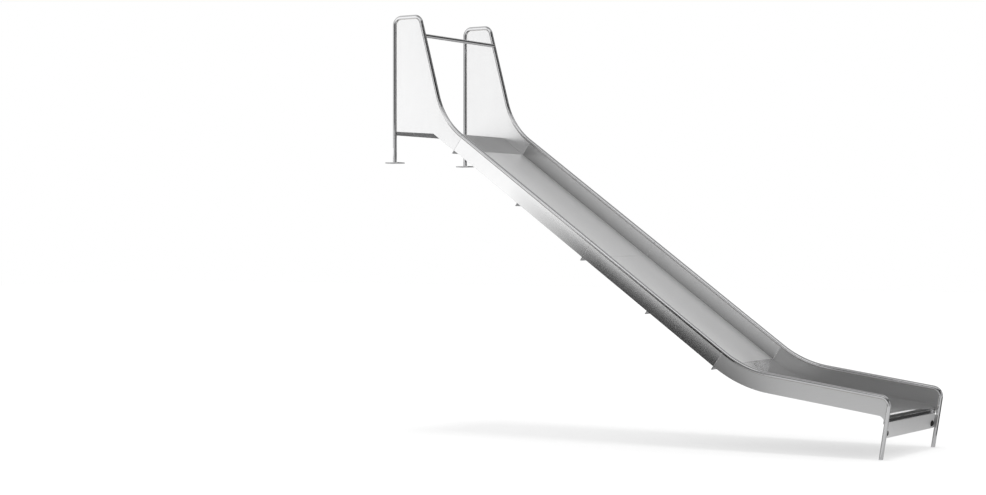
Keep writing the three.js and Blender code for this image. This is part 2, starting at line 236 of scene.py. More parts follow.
# %% Corner points of the rail
leg_corner = Vector((0, EXIT_RAIL_HEIGHT))
leg_foot = leg_corner + leg_heading * (EXIT_RAIL_HEIGHT / math.cos(math.radians(LEG_LEAN)))
exit_corner = leg_corner - runout_heading * RUNOUT_LENGTH
exit_rise = bend_tangent(EXIT_BEND_RADIUS, CHUTE_FALL - RUNOUT_FALL) + JOINT_TAIL
exit_seam = exit_corner - chute_heading * exit_rise
middle_seam = exit_seam - chute_heading * LOWER_CHUTE_LENGTH
start_seam = middle_seam - chute_heading * UPPER_CHUTE_LENGTH
start_rise = bend_tangent(START_BEND_RADIUS, FRONT_RAIL_FALL - CHUTE_FALL) + JOINT_TAIL
bend_corner = start_seam - chute_heading * start_rise
front_top = bend_corner - front_heading * FRONT_RAIL_LENGTH
rear_top = front_top - level_heading * TOP_RAIL_LENGTH
start_floor_end = below(start_seam, chute_heading, FLOOR_DEPTH)
floor_kink = crossing(start_floor_end, chute_heading, rear_top + level_heading * PLATFORM_LENGTH, plumb)
platform_rear = crossing(floor_kink, platform_heading, rear_top, plumb)
post_foot = platform_rear + plumb * POST_DEPTH

plate_low, plate_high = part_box("right_anchor_plate")
REACH_SHIFT = (plate_low.x + plate_high.x) / 2 - post_foot.x


def spot(point, y):
    """A point of the side view in the slide's own frame."""
    return Vector((point.x + REACH_SHIFT, y, point.y))


print("rail top", round(rear_top.y, 4), "m up, leg corner", round(REACH_SHIFT, 4), "m along")

# %% [markdown]
# ## Writing shaders as sums
#
# A finish could be wired node by node, but it reads better as arithmetic. `Term` wraps one socket of a
# material and turns `+ - *` and `abs` into Math nodes.

# %% Arithmetic on sockets
class Term:
    """One value of a material, ready for plain arithmetic."""

    def __init__(self, finish, socket):
        self.finish = finish
        self.socket = socket

    def math(self, operation, *values):
        return self.finish.term("Math", {"operation": operation}, dict(enumerate(values)))

    def __add__(self, other):
        return self.math("ADD", self, other)

    def __sub__(self, other):
        return self.math("SUBTRACT", self, other)

    def __rsub__(self, other):
        return self.math("SUBTRACT", other, self)

    def __mul__(self, other):
        return self.math("MULTIPLY", self, other)

    def __abs__(self):
        return self.math("ABSOLUTE", self)

    __radd__ = __add__
    __rmul__ = __mul__


print("Term:", Term.__doc__)

# %% [markdown]
# ## A material that adds its own nodes
#
# `Finish` owns a material. Its `node` adds any node by its type, settings and sockets, and the other
# methods name the few patterns that the finishes share. Noise is stretched by turning the place on the
# object into the grain's direction and scaling each axis, which needs no unwrapping.

# %% Materials
class Finish:
    """A material, with one method that adds any node."""

    def __init__(self, name):
        self.material = bpy.data.materials.new(name)
        self.material.use_nodes = True
        self.tree = self.material.node_tree
        self.tree.nodes.clear()
        self.place = self.node("TexCoord").outputs["Object"]

    def node(self, kind, settings=None, sockets=None):
        made = self.tree.nodes.new("ShaderNode" + kind)
        for name, value in (settings or {}).items():
            setattr(made, name, value)
        for name, value in (sockets or {}).items():
            if isinstance(value, Term):
                value = value.socket
            if isinstance(value, bpy.types.NodeSocket):
                self.tree.links.new(value, made.inputs[name])
            else:
                made.inputs[name].default_value = value
        return made

    def term(self, kind, settings=None, sockets=None, output=0):
        return Term(self, self.node(kind, settings, sockets).outputs[output])

    def axes(self):
        """X, Y and Z of the place on the object."""
        return [Term(self, output) for output in self.node("SeparateXYZ", None, {0: self.place}).outputs]

    def noise(self, scale, grain_fall=0, detail=2, roughness=0.5):
        """Noise from -1 to 1; three scales stretch it along, across and square to the grain."""
        scale = scale if isinstance(scale, tuple) else (scale,) * 3
        turn = (0, math.radians(grain_fall), 0)
        turned_place = self.term("Mapping", {"vector_type": "POINT"}, {0: self.place, 2: turn})
        place = self.term("VectorMath", {"operation": "MULTIPLY"}, {0: turned_place, 1: scale})
        sockets = {"Vector": place, "Scale": 1, "Detail": detail, "Roughness": roughness}
        return (self.term("TexNoise", None, sockets) - 0.5) * 2

    def blend(self, factor, first, second):
        """A colour between two colours."""
        settings = {"data_type": "RGBA", "clamp_factor": True}
        return self.term("Mix", settings, {0: factor, 6: first, 7: second}, output=2)

    def share(self, value, start, end):
        """0 where the value is at the start, 1 at the end, and held beyond both."""
        return self.term("MapRange", {"clamp": True}, {0: value, 1: start, 2: end, 3: 0, 4: 1})

    def bump(self, height, distance):
        return self.term("Bump", None, {"Height": height, "Distance": distance, "Strength": 1})

    def end(self, kind, sockets):
        """Ends the material in a shader."""
        surface = self.node(kind, None, sockets)
        self.node("OutputMaterial", None, {"Surface": surface.outputs[0]})
        print("finish", self.material.name, "has", len(self.tree.nodes), "nodes")
        return self.material


print("Finish:", [name for name in vars(Finish) if not name.startswith("_")])

# %% [markdown]
# ## Brushed sheet
#
# Stainless sheet is brushed with a belt, so its grain is thousands of hair-fine scratches in one direction.
# A picture of scratches could be laid over it, but noise stretched along the grain has no seams and gives
# tone, roughness and bump at once. A broad, faint swell stands for the waves of thin sheet. Each module has
# its own grind, so the seams show as a step in tone. The start floor's tone is darkened as painted shade,
# and the inner faces of the chute's and the exit's walls carry painted shade, darker than the outer ones and
# on the chute darkest towards the floor.

# %% Brushed sheet
STEEL = (0.76, 0.76, 0.76)
STEEL_SHADE = (0.70, 0.70, 0.705)
# The dark grey that the walls' inner faces are blended towards, as painted shade.
PAINTED_SHADE_STEEL = (0.26, 0.26, 0.26, 1)
FINE_GRAIN = (6, 900, 900)
COARSE_GRAIN = (1.2, 110, 110)
SWELL = (1.6, 3.5, 3.5)
SMUDGE = (9, 14, 14)
WAVE_HEIGHT = 0.00005
INNER_FACE = HALF_GAUGE - SHEET / 4
FACE_BAND = 0.0002


def painted_inner_shade(steel, by_rail, by_floor):
    """How much painted shade darkens the inner face of a side sheet: one value by the rail and another by
    the floor.
    """
    x, y, z = steel.axes()
    inside = steel.share(abs(y), INNER_FACE + FACE_BAND, INNER_FACE)
    upward = left_of(chute_heading)
    rail_line = (start_seam + Vector((REACH_SHIFT, 0))).dot(upward)
    height = x * upward.x + z * upward.y
    depth = steel.share(height, rail_line - TUBE_RADIUS, rail_line - FLOOR_DEPTH)
    return inside * (depth * (by_floor - by_rail) + by_rail)


def brushed(name, grain_fall, roughness, wave_height=WAVE_HEIGHT, metallic=1.0, tint=1.0, inner=None):
    steel = Finish(name)
    fine = steel.noise(FINE_GRAIN, grain_fall)
    coarse = steel.noise(COARSE_GRAIN, grain_fall)
    swell = steel.noise(SWELL, grain_fall, detail=1)
    smudge = steel.noise(SMUDGE, grain_fall, detail=4)
    tone = coarse * 0.35 + fine * 0.35 + smudge * 0.3
    lighter, darker = [(*(tint * value for value in shade), 1) for shade in (STEEL, STEEL_SHADE)]
    colour = steel.blend(tone * 0.5 + 0.4, lighter, darker)
    # Painted shade: the inner face is blended towards dark grey, by the rail and by the floor as asked.
    if inner:
        colour = steel.blend(painted_inner_shade(steel, *inner), colour, PAINTED_SHADE_STEEL)
    return steel.end("BsdfPrincipled", {
        "Base Color": colour,
        "Metallic": metallic,
        "Roughness": (fine + coarse) * 0.02 + smudge * 0.01 + roughness,
        "Normal": steel.bump(swell * 1.5 + coarse * 0.02 + fine * 0.008, wave_height),
    })


chute_floor_sheet = brushed("brushed_chute_floor", CHUTE_FALL, 0.30, wave_height=0.00008, metallic=0.68)
# Painted shade on the inner faces of the chute walls, darkest by the floor.
chute_side_sheet = brushed("brushed_chute_side", CHUTE_FALL, 0.22, wave_height=0.00002, inner=(0.25, 0.92))
start_side_sheet = brushed("satin_start_sheet", 90, 0.26)
# The start floor's tint of 0.80 is painted shade: the whole sheet is darker than the same steel elsewhere.
start_floor_sheet = brushed("satin_start_floor", 0, 0.32, tint=0.80)
exit_floor_sheet = brushed("satin_exit_floor", RUNOUT_FALL, 0.18, wave_height=0.00002)
# Painted shade on the inner faces of the exit walls, even from rail to floor.
exit_side_sheet = brushed("satin_exit_side", RUNOUT_FALL, 0.42, inner=(0.34, 0.34))
plate_sheet = brushed("satin_plate_sheet", 0, 0.42, metallic=0.60)

# %% [markdown]
# ## Polished tube and weld
#
# The handrail tube is polished, so it shows the cards round it as crisp lines. A weld bead has a faint
# straw tint where the heat was. Both could be one plain metal, but a little noise in tone and roughness
# keeps a long reflection from looking drawn with a ruler.

# %% Polished tube and weld
tube = Finish("polished_tube")
fine = tube.noise(260, detail=3)
smudge = tube.noise(12, detail=3)
TUBE = tube.end("BsdfPrincipled", {
    "Base Color": tube.blend(smudge * 0.5 + 0.5, (0.71, 0.71, 0.715, 1), (0.66, 0.66, 0.67, 1)),
    "Metallic": 1.0,
    "Roughness": smudge * 0.02 + fine * 0.01 + 0.09,
    "Normal": tube.bump(fine, 0.00001),
})

weld = Finish("weld_bead")
heat = weld.noise(35)
WELD = weld.end("BsdfPrincipled", {
    "Base Color": weld.blend(heat * 0.8 + 0.5, (0.60, 0.59, 0.58, 1), (0.55, 0.50, 0.42, 1)),
    "Metallic": 1.0,
    "Roughness": heat * 0.06 + 0.33,
})

# %% [markdown]
# ## Mill steel and black plastic
#
# Angles, bolts and plates stay as the mill left them, dull and mottled. The bolt caps are moulded plastic
# with a fine grain. Both are patches of tone and gloss over a fine bump, only at other scales.

# %% Mill steel and black plastic
mill = Finish("mill_steel")
mottle = mill.noise(45, detail=5, roughness=0.6)
MILL = mill.end("BsdfPrincipled", {
    "Base Color": mill.blend(mottle * 0.7 + 0.5, (0.50, 0.50, 0.505, 1), (0.38, 0.385, 0.39, 1)),
    "Metallic": 1.0,
    "Roughness": mottle * 0.08 + 0.44,
    "Normal": mill.bump(mill.noise(700), 0.00004),
})

plastic = Finish("black_plastic")
cloud = plastic.noise(60, detail=3)
PLASTIC = plastic.end("BsdfPrincipled", {
    "Base Color": plastic.blend(cloud * 0.5 + 0.5, (0.012, 0.012, 0.012, 1), (0.02, 0.019, 0.018, 1)),
    "Metallic": 0.0,
    "Roughness": cloud * 0.05 + 0.48,
    "Specular IOR Level": 0.15,
    "Normal": plastic.bump(plastic.noise(900), 0.00003),
})

# %% [markdown]
# ## Turning a mesh into a piece
#
# Each piece is built in a bmesh. One helper makes the object, smooths it between its true edges, lets it
# ride on the slide's one body and hides the CAD piece it stands for. It also compares the two boxes,
# because a smooth piece in the wrong place would be worse than a faceted one in the right place.

# %% Piece helper
SHARP_ANGLE = 20
worst_miss = {}


def mesh_of(name, bm):
    mesh = bpy.data.meshes.new(name)
    bm.to_mesh(mesh)
    bm.free()
    return mesh


def box_miss(mesh, low, high):
    """The largest distance between the sides of a mesh's box and of the box from low to high."""
    misses = []
    for axis in range(3):
        values = [vertex.co[axis] for vertex in mesh.vertices]
        misses += [abs(min(values) - low[axis]), abs(max(values) - high[axis])]
    return max(misses)


def piece(name, bm, finish, slot, *nodes, place=None, sharp=SHARP_ANGLE):
    """Makes a piece; a mesh that is drawn in a frame of its own is moved to its place first."""
    if place:
        bm.transform(place)
    bmesh.ops.recalc_face_normals(bm, faces=bm.faces)
    mesh = mesh_of(name, bm)
    mesh.polygons.foreach_set("use_smooth", [True] * len(mesh.polygons))
    mesh.set_sharp_from_angle(angle=math.radians(sharp))
    mesh.materials.append(finish)
    made = add_object(name, mesh)
    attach(made, "root")
    if nodes:
        worst_miss[name] = box_miss(mesh, *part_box(nodes[0]))
        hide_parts(*nodes)


def print_fit():
    """Prints which piece misses its CAD piece's box by most, in millimetres."""
    worst = max(worst_miss, key=worst_miss.get)
    print(len(worst_miss), "pieces; worst miss", round(1000 * worst_miss[worst], 2), "mm, at", worst)


print("edges of more than", SHARP_ANGLE, "degrees stay sharp")

# %% [markdown]
# ## Swept tube
#
# A tube could be a curve with a round bevel, but that has no wall and no open end. Rings of points are
# skinned along the outside and back along the bore. The saw leaves a sharp end, which is always broken by a
# small chamfer before a child can touch it.

# %% Swept tube
TUBE_SIDES = 32
EDGE_BREAK = 0.0004


def turns(steps):
    return [2 * math.pi * step / steps for step in range(steps)]


def ring(bm, point, heading, y, radius):
    made = []
    for angle in turns(TUBE_SIDES):
        rim = point + left_of(heading) * radius * math.cos(angle)
        made.append(bm.verts.new(spot(rim, y + radius * math.sin(angle))))
    return made


def bridge(bm, ring_a, ring_b):
    for i in range(len(ring_a)):
        bm.faces.new((ring_a[i - 1], ring_a[i], ring_b[i], ring_b[i - 1]))


def skin(bm, rings, closed=False):
    """Faces from ring to ring; a closed skin returns to its first ring, any other gets two ends."""
    for ring_a, ring_b in zip(rings, rings[1:]):
        bridge(bm, ring_a, ring_b)
    if closed:
        bridge(bm, rings[-1], rings[0])
    else:
        bm.faces.new(rings[0])
        bm.faces.new(rings[-1])


def swept_tube(stations, y, radius, bore=None):
    """A tube with its wall, or a solid bar if it has no bore."""
    bm = bmesh.new()
    (first, first_heading), (last, last_heading) = stations[0], stations[-1]
    outer = [(first, first_heading, radius - EDGE_BREAK)]
    outer.append((first + first_heading * EDGE_BREAK, first_heading, radius))
    outer += [(point, heading, radius) for point, heading in stations[1:-1]]
    outer.append((last - last_heading * EDGE_BREAK, last_heading, radius))
    outer.append((last, last_heading, radius - EDGE_BREAK))
    inner = [(point, heading, bore) for point, heading in reversed(stations)] if bore else []
    rings = [ring(bm, point, heading, y, size) for point, heading, size in outer + inner]
    skin(bm, rings, closed=bool(bore))
    return bm


print("a chord of the tube is", round(2000 * TUBE_RADIUS * math.sin(math.pi / TUBE_SIDES), 1), "mm long")

# %% [markdown]
# ## Handrail
#
# One tube runs down each edge, in a length for each module. On the start module it rises as the rear post,
# turns over the top and comes down the front. At the exit it turns down into the leg, which is cut level. A
# Boolean could cut it, but sliding the last rings along the leg keeps the mesh clean.

# %% Rails
TUBE_WALL = 0.002
TUBE_BORE = TUBE_RADIUS - TUBE_WALL
CORNER_RADIUS = 0.060

half_seam = chute_heading * (SEAM_GAP / 2)
start_radii = [CORNER_RADIUS, CORNER_RADIUS, START_BEND_RADIUS]
exit_radii = [EXIT_BEND_RADIUS, CORNER_RADIUS]
start_end = start_seam - half_seam
exit_start = exit_seam + half_seam
chutes = (("upper_chute", start_seam, UPPER_CHUTE_LENGTH), ("lower_chute", middle_seam, LOWER_CHUTE_LENGTH))


def cut_level(bm, heading):
    """Slides the last rings along the leg until they end at height zero."""
    slope = heading.x / heading.y
    for vertex in bm.verts:
        if vertex.co.z < TUBE_RADIUS:
            vertex.co.x -= slope * vertex.co.z
            vertex.co.z = 0


def chute_path(start, length):
    ends = (start + half_seam, start + chute_heading * (length - SEAM_GAP / 2))
    return [(end, chute_heading) for end in ends]


rail_paths = [("start", bent_path([post_foot, rear_top, front_top, bend_corner, start_end], start_radii))]
rail_paths.append(("exit", bent_path([exit_start, exit_corner, leg_corner, leg_foot], exit_radii)))
chute_paths = [(name, chute_path(start, length)) for name, start, length in chutes]
rail_paths += chute_paths
for side_name, side in SIDES:
    for name, path in rail_paths:
        rail = swept_tube(path, side * HALF_GAUGE, TUBE_RADIUS, TUBE_BORE)
        if name == "exit":
            cut_level(rail, leg_heading)
        piece(f"{side_name}_{name}_handrail", rail, TUBE, "tube", f"{side_name}_{name}_rail")
print_fit()

# %% [markdown]
# ## Guard bar
#
# The bar makes a child sit down before sliding. Its ends are coped to a saddle that fits round the rail.
# One tube could be cut with another, but it is simpler to move each point of the end ring out until it
# meets the rail.

# %% Guard bar
GUARD_BAR_DROP = 0.150

bar_point = front_top + front_heading * (GUARD_BAR_DROP / math.sin(math.radians(FRONT_RAIL_FALL)))


def saddle_reach(offset):
    """How far from the slide's middle plane the bar ends, at an offset from the rail's axis."""
    return HALF_GAUGE - math.sqrt(SHEET_EDGE ** 2 - offset.dot(left_of(front_heading)) ** 2)


def bar_ring(bm, radius, side):
    made = []
    for angle in turns(TUBE_SIDES):
        offset = Vector((radius * math.cos(angle), radius * math.sin(angle)))
        made.append(bm.verts.new(spot(bar_point + offset, side * saddle_reach(offset))))
    return made


bar = bmesh.new()
bar_ends = ((TUBE_RADIUS, -1), (TUBE_RADIUS, 1), (TUBE_BORE, 1), (TUBE_BORE, -1))
skin(bar, [bar_ring(bar, radius, side) for radius, side in bar_ends], closed=True)
piece("guard_bar_tube", bar, TUBE, "tube", "guard_bar")
print_fit()

# %% [markdown]
# ## Softened plates
#
# Sheet, brackets and plates are flat outlines with a thickness. Modifiers could make them. Here the outline
# is pushed across and only its two rims are bevelled, so that the faces stay flat and the rims catch the
# light as a thin line along each edge and at each seam.

# %% Softened plates
SHEET_BREAK = 0.0005
ARC_STEPS = 4


def break_rims(bm, rims):
    bmesh.ops.bevel(bm, geom=rims, offset=SHEET_BREAK, segments=2, profile=0.5, affect="EDGES")


def plate(outline, y):
    """Sheet of this outline in the side view, with its middle at y and its two rims broken."""
    bm = bmesh.new()
    face = bm.faces.new([bm.verts.new(spot(point, y - SHEET / 2)) for point in outline])
    extruded = bmesh.ops.extrude_face_region(bm, geom=[face])
    moved = [element for element in extruded["geom"] if isinstance(element, bmesh.types.BMVert)]
    bmesh.ops.translate(bm, verts=moved, vec=(0, SHEET, 0))
    break_rims(bm, [edge for edge in bm.edges if abs(edge.verts[0].co.y - edge.verts[1].co.y) < SHEET / 2])
    return bm


def soft_prism(outline, axis, low, high):
    """An outline pushed along an axis from low to high, with its two rims broken."""
    bm = bmesh.new()
    ends = []
    for place_along in (low, high):
        corners = [list(point) for point in outline]
        for corner in corners:
            corner.insert("XYZ".index(axis), place_along)
        ends.append([bm.verts.new(corner) for corner in corners])
    skin(bm, ends)
    rims = {edge for end in ends for vertex in end for edge in vertex.link_edges}
    rims = [edge for edge in rims if (edge.verts[0] in ends[0]) == (edge.verts[1] in ends[0])]
    break_rims(bm, rims)
    return bm


def rounded(outline, radii):
    """An outline with round corners; a radius of 0 keeps a corner sharp."""
    corners = [Vector(corner) for corner in outline]
    points = []
    for i, radius in enumerate(radii):
        incoming = (corners[i] - corners[i - 1]).normalized()
        outgoing = (corners[(i + 1) % len(corners)] - corners[i]).normalized()
        arc = bend(corners[i], incoming, outgoing, radius, ARC_STEPS) if radius else [(corners[i], incoming)]
        points += [point for point, _ in arc]
    return points


print("rims are broken by", 1000 * SHEET_BREAK, "mm")

# %% [markdown]
# ## Side sheets
#
# The walls stand under the rails and are welded to them all along. They could be plain strips, but start
# and exit walls have to follow the bends of the rail, so their upper edge is the rail's own path, set off
# by its radius. At the exit the wall runs down the leg in a small rounded web, which stiffens it.

# %% Side sheets
START_SIDE_DEPTH = 0.1325
PANEL_DROP = 0.011
WEB_RADIUS = 0.045
WEB_TOE = 0.002

panel_floor = below(platform_rear, platform_heading, PANEL_DROP)
panel_rear = crossing(panel_floor, platform_heading, rear_top, plumb)
start_panel_path = bent_path([panel_rear, rear_top, front_top, bend_corner, start_end], start_radii)

nose_turn = 90 + LEG_LEAN - RUNOUT_FALL
wall_bottom = below(leg_corner, runout_heading, SIDE_DEPTH)
web_line = below(leg_corner, leg_heading, SHEET_EDGE + WEB_TOE)
web_corner = crossing(wall_bottom, runout_heading, web_line, leg_heading)
web_end = web_corner + leg_heading * bend_tangent(WEB_RADIUS, nose_turn)
wall_end = crossing(leg_corner, leg_heading, web_end, left_of(leg_heading))
exit_wall_path = bent_path([exit_start, exit_corner, leg_corner, wall_end], exit_radii)


def start_panel_outline():
    chute_bottom = below(start_end, chute_heading, START_SIDE_DEPTH)
    kink = crossing(panel_floor, platform_heading, chute_bottom, chute_heading)
    edge = offset_points(start_panel_path, SHEET_EDGE)
    edge[0] = crossing(panel_floor, platform_heading, edge[0], plumb)
    return edge + [chute_bottom, kink]


def exit_wall_outline():
    start = below(exit_start, chute_heading, SIDE_DEPTH)
    corner = crossing(start, chute_heading, wall_bottom, runout_heading)
    lower = bent_path([start, corner, web_corner, web_end], [EXIT_BEND_RADIUS + SIDE_DEPTH, WEB_RADIUS])
    return offset_points(exit_wall_path, SHEET_EDGE) + offset_points(lower, 0)[::-1]


walls = [("start", "panel", start_side_sheet, start_panel_outline())]
walls.append(("exit", "wall", exit_side_sheet, exit_wall_outline()))
for name, path in chute_paths:
    outline = offset_points(path, SHEET_EDGE) + offset_points(path, SIDE_DEPTH)[::-1]
    walls.append((name, "wall", chute_side_sheet, outline))
for side_name, side in SIDES:
    for name, kind, finish, outline in walls:
        wall = plate(outline, side * HALF_GAUGE)
        piece(f"{side_name}_{name}_side", wall, finish, "sheet", f"{side_name}_{name}_{kind}")
print_fit()

# %% [markdown]
# ## Floors
#
# The floors are the same sheet, bent across the slide: a rear lip and a soft kink on the platform, the long
# bend into the run-out, and the nose rolled down at the exit. A bent plane would need a modifier for its
# thickness. Sweeping the sheet's section keeps thickness and rims even round every bend.

# %% Floors
KINK_RADIUS = 0.020
LIP_RADIUS = 0.010
LIP_DEPTH = 0.040
NOSE_RADIUS = 0.030
NOSE_SETBACK = 0.006
NOSE_LIP = 0.025


def floor_strip(stations):
    """The sheet's section, with broken rims, swept along its upper face."""
    bm = bmesh.new()
    half, soft = FLOOR_WIDTH / 2, SHEET_BREAK
    section = [(-half + soft, 0), (half - soft, 0), (half, soft), (half, SHEET - soft)]
    section += [(half - soft, SHEET), (-half + soft, SHEET), (-half, SHEET - soft), (-half, soft)]
    rings = []
    for point, heading in stations:
        rings.append([bm.verts.new(spot(below(point, heading, depth), y)) for y, depth in section])
    skin(bm, rings)
    return bm


floor_rear = crossing(platform_rear, platform_heading, rear_top + level_heading * SHEET_EDGE, plumb)
start_floor_tail = start_floor_end - half_seam
start_floor_corners = [floor_rear + plumb * LIP_DEPTH, floor_rear, floor_kink, start_floor_tail]

exit_floor_start = below(exit_start, chute_heading, FLOOR_DEPTH)
runout_floor_point = below(leg_corner, runout_heading, FLOOR_DEPTH)
exit_floor_corner = crossing(exit_floor_start, chute_heading, runout_floor_point, runout_heading)
nose_line = below(leg_corner, leg_heading, TUBE_RADIUS + NOSE_SETBACK)
nose_corner = crossing(runout_floor_point, runout_heading, nose_line, leg_heading)
nose_end = nose_corner + leg_heading * (bend_tangent(NOSE_RADIUS, nose_turn) + NOSE_LIP)
exit_floor_corners = [exit_floor_start, exit_floor_corner, nose_corner, nose_end]
exit_floor_path = bent_path(exit_floor_corners, [EXIT_BEND_RADIUS + FLOOR_DEPTH, NOSE_RADIUS])

floors = [("start", bent_path(start_floor_corners, [LIP_RADIUS, KINK_RADIUS]), start_floor_sheet)]
for name, path in chute_paths:
    points = offset_points(path, FLOOR_DEPTH)
    floors.append((name, [(point, chute_heading) for point in points], chute_floor_sheet))
floors.append(("exit", exit_floor_path, exit_floor_sheet))
for name, path, finish in floors:
    piece(f"{name}_floor_sheet", floor_strip(path), finish, "sheet", f"{name}_floor")
print_fit()

# %% [markdown]
# ## Holes
#
# Bolt holes are cut with a Boolean modifier, as a drill would cut them. The exact solver keeps flat faces
# flat and leaves a clean rim. The cutters are plain cylinders that are thrown away afterwards.

# %% Holes
HOLE_SIDES = 24


def cutter(radius, middle, length, along="X"):
    """A cylinder along X or Z."""
    place = Matrix.Translation(middle)
    if along == "X":
        place = place @ Matrix.Rotation(math.pi / 2, 4, "Y")
    bm = bmesh.new()
    size = {"radius1": radius, "radius2": radius, "depth": length}
    bmesh.ops.create_cone(bm, cap_ends=True, segments=HOLE_SIDES, matrix=place, **size)
    return bm


def bored(bm, cutters):
    """Cuts the cutters out of a mesh."""
    bmesh.ops.recalc_face_normals(bm, faces=bm.faces)
    body, *tools = [add_object("loose", mesh_of("loose", shape)) for shape in (bm, *cutters)]
    for tool in tools:
        boolean = body.modifiers.new("hole", "BOOLEAN")
        boolean.object = tool
        boolean.solver = "EXACT"
    shape = bpy.data.meshes.new_from_object(body.evaluated_get(bpy.context.evaluated_depsgraph_get()))
    result = bmesh.new()
    result.from_mesh(shape)
    for mesh in (shape, *(made.data for made in (body, *tools))):
        bpy.data.meshes.remove(mesh)
    return result


print("a hole has", HOLE_SIDES, "sides")

# %% [markdown]
# ## Cross angles under the floors
#
# Rolled angles stiffen each floor, and a pair of them, bolted back to back, closes each seam. A square
# outline would do for the shape, but a rolled angle has a soft root and soft toes, so it is drawn with arcs
# and pushed across the slide. All hang in a table of seats, because the welds need the same places.

# %% Seats of the cross angles
BOLT_SHARES = (-0.38, 0, 0.38)


def side_frame(point, fall):
    """A frame at a point of the side view, with X along the fall, Y across and Z square to both."""
    along, up = heading_at(fall), left_of(heading_at(fall))
    origin = spot(point, 0)
    rows = [(along.x, 0, up.x, origin.x), (0, 1, 0, origin.y), (along.y, 0, up.y, origin.z), (0, 0, 0, 1)]
    return Matrix(rows)


def under(frame_here, depth):
    """The same frame, moved to the underside of a floor that lies at a depth."""
    return frame_here @ Matrix.Translation((0, 0, -(depth + SHEET)))


platform_frame = side_frame(platform_rear.lerp(floor_kink, 0.5), PLATFORM_FALL)
angle_seats = [("start_floor", "start_floor_stiffener", under(platform_frame, 0), 1, ())]
for name, start, length in chutes:
    seat = under(side_frame(start + chute_heading * (length / 2), CHUTE_FALL), FLOOR_DEPTH)
    angle_seats.append((name, f"{name}_stiffener", seat, 1, ()))
seams = (("start_seam", start_seam), ("middle_seam", middle_seam), ("exit_seam", exit_seam))
for seam_name, point in seams:
    for half_name, way in (("upper", -1), ("lower", 1)):
        name = f"{seam_name}_{half_name}"
        seat = under(side_frame(point + half_seam * way, CHUTE_FALL), FLOOR_DEPTH)
        angle_seats.append((name, f"{name}_angle", seat, way, BOLT_SHARES))
print(len(angle_seats), "seats")

# %% Rolled angles
ANGLE_LEG = 0.030
ANGLE_THICKNESS = 0.003
ROOT_RADIUS = 0.003
TOE_RADIUS = 0.0015
SEAM_BOLT_RADIUS = 0.004
SEAM_BOLT_DROP = -(ANGLE_LEG + ANGLE_THICKNESS) / 2
DRILL_LENGTH = 0.02


def rolled_angle(way, hole_shares):
    """An angle with its upright leg at X = 0; its way turns it downhill or uphill."""
    corner, tip = way * ANGLE_THICKNESS, way * ANGLE_LEG
    outline = [(0, 0), (tip, 0), (tip, -ANGLE_THICKNESS), (corner, -ANGLE_THICKNESS)]
    outline += [(corner, -ANGLE_LEG), (0, -ANGLE_LEG)]
    points = rounded(outline, (0, 0, TOE_RADIUS, ROOT_RADIUS, TOE_RADIUS, 0))
    bm = bmesh.new()
    ends = (-FLOOR_WIDTH / 2, FLOOR_WIDTH / 2)
    skin(bm, [[bm.verts.new((point.x, y, point.y)) for point in points] for y in ends])
    places = [(0, share * FLOOR_WIDTH, SEAM_BOLT_DROP) for share in hole_shares]
    holes = [cutter(SEAM_BOLT_RADIUS + SEAT, place, DRILL_LENGTH) for place in places]
    return bored(bm, holes) if holes else bm


for name, node, seat, way, hole_shares in angle_seats:
    place = seat @ Matrix.Translation((0, 0, -SEAT))
    piece(f"{name}_rolled_angle", rolled_angle(way, hole_shares), MILL, "fitting", node, place=place)
print_fit()

# %% [markdown]
# ## Hexagons and threads
#
# A hex head is turned to a cone before it is stamped, which leaves a curved chamfer on its corners, and a
# thread is a true spiral. The Screw modifier would make the thread, but not in one solid with its head.
# Both are rings round an axis, whose place and radius may follow the angle.

# %% Turned solids
TURN_STEPS = 36


def at(value, angle):
    return value(angle) if callable(value) else value


def turned_ring(bm, x, radius, steps):
    """A ring round X; x and radius are numbers, or follow the angle."""
    made = []
    for angle in turns(steps):
        reach = at(radius, angle)
        made.append(bm.verts.new((at(x, angle), reach * math.cos(angle), reach * math.sin(angle))))
    return made


def turned(profile):
    bm = bmesh.new()
    skin(bm, [turned_ring(bm, x, radius, TURN_STEPS) for x, radius in profile])
    return bm


print("turned solids have", TURN_STEPS, "sides")

# %% Hexagons and threads
SIXTH = math.pi / 3
CONE_SHARE = 0.97
CONE_SLOPE = math.tan(math.radians(30))
THREAD_DEPTH = 0.54
RINGS_PER_PITCH = 4
CUT_PAST = 0.01


def hex_end(corner_radius, x, way):
    """The two rings that end a hexagon: its chamfered rim, and the round flat that faces along way."""
    flat = corner_radius * math.cos(math.pi / 6)

    def sides(angle):
        return flat / math.cos((angle + SIXTH / 2) % SIXTH - SIXTH / 2)

    def rim(angle):
        return x - way * max(0, sides(angle) - flat * CONE_SHARE) * CONE_SLOPE

    return [(rim, sides), (x, flat * CONE_SHARE)]


def hex_nut(corner_radius, bore, start, end):
    nut = turned(hex_end(corner_radius, start, -1)[::-1] + hex_end(corner_radius, end, 1))
    middle = ((start + end) / 2, 0, 0)
    return bored(nut, [cutter(bore, middle, end - start + 2 * CUT_PAST)])


def thread(radius, pitch, start, end):
    """The rings of a threaded shank from start to end, with a lead-in at its tip."""
    count = round(RINGS_PER_PITCH * (end - start) / pitch)
    profile = []
    for i in range(count + 1):
        x = start + (end - start) * i / count
        lead = min(1, (end - x) / pitch)

        def radius_at(angle, x=x, lead=lead):
            wave = abs(2 * ((x / pitch - angle / (2 * math.pi)) % 1) - 1)
            return radius - THREAD_DEPTH * pitch * (1 - wave * lead)
        profile.append((x, radius_at))
    return profile


def hex_bolt(corner_radius, head_height, radius, pitch, seat, tip):
    """Head and threaded shank in one solid, with the shank towards +X."""
    rim, top = hex_end(corner_radius, seat - head_height, -1)
    return turned([top, rim, (seat, rim[1])] + thread(radius, pitch, seat, tip))


print("one turn of thread has", RINGS_PER_PITCH, "rings")

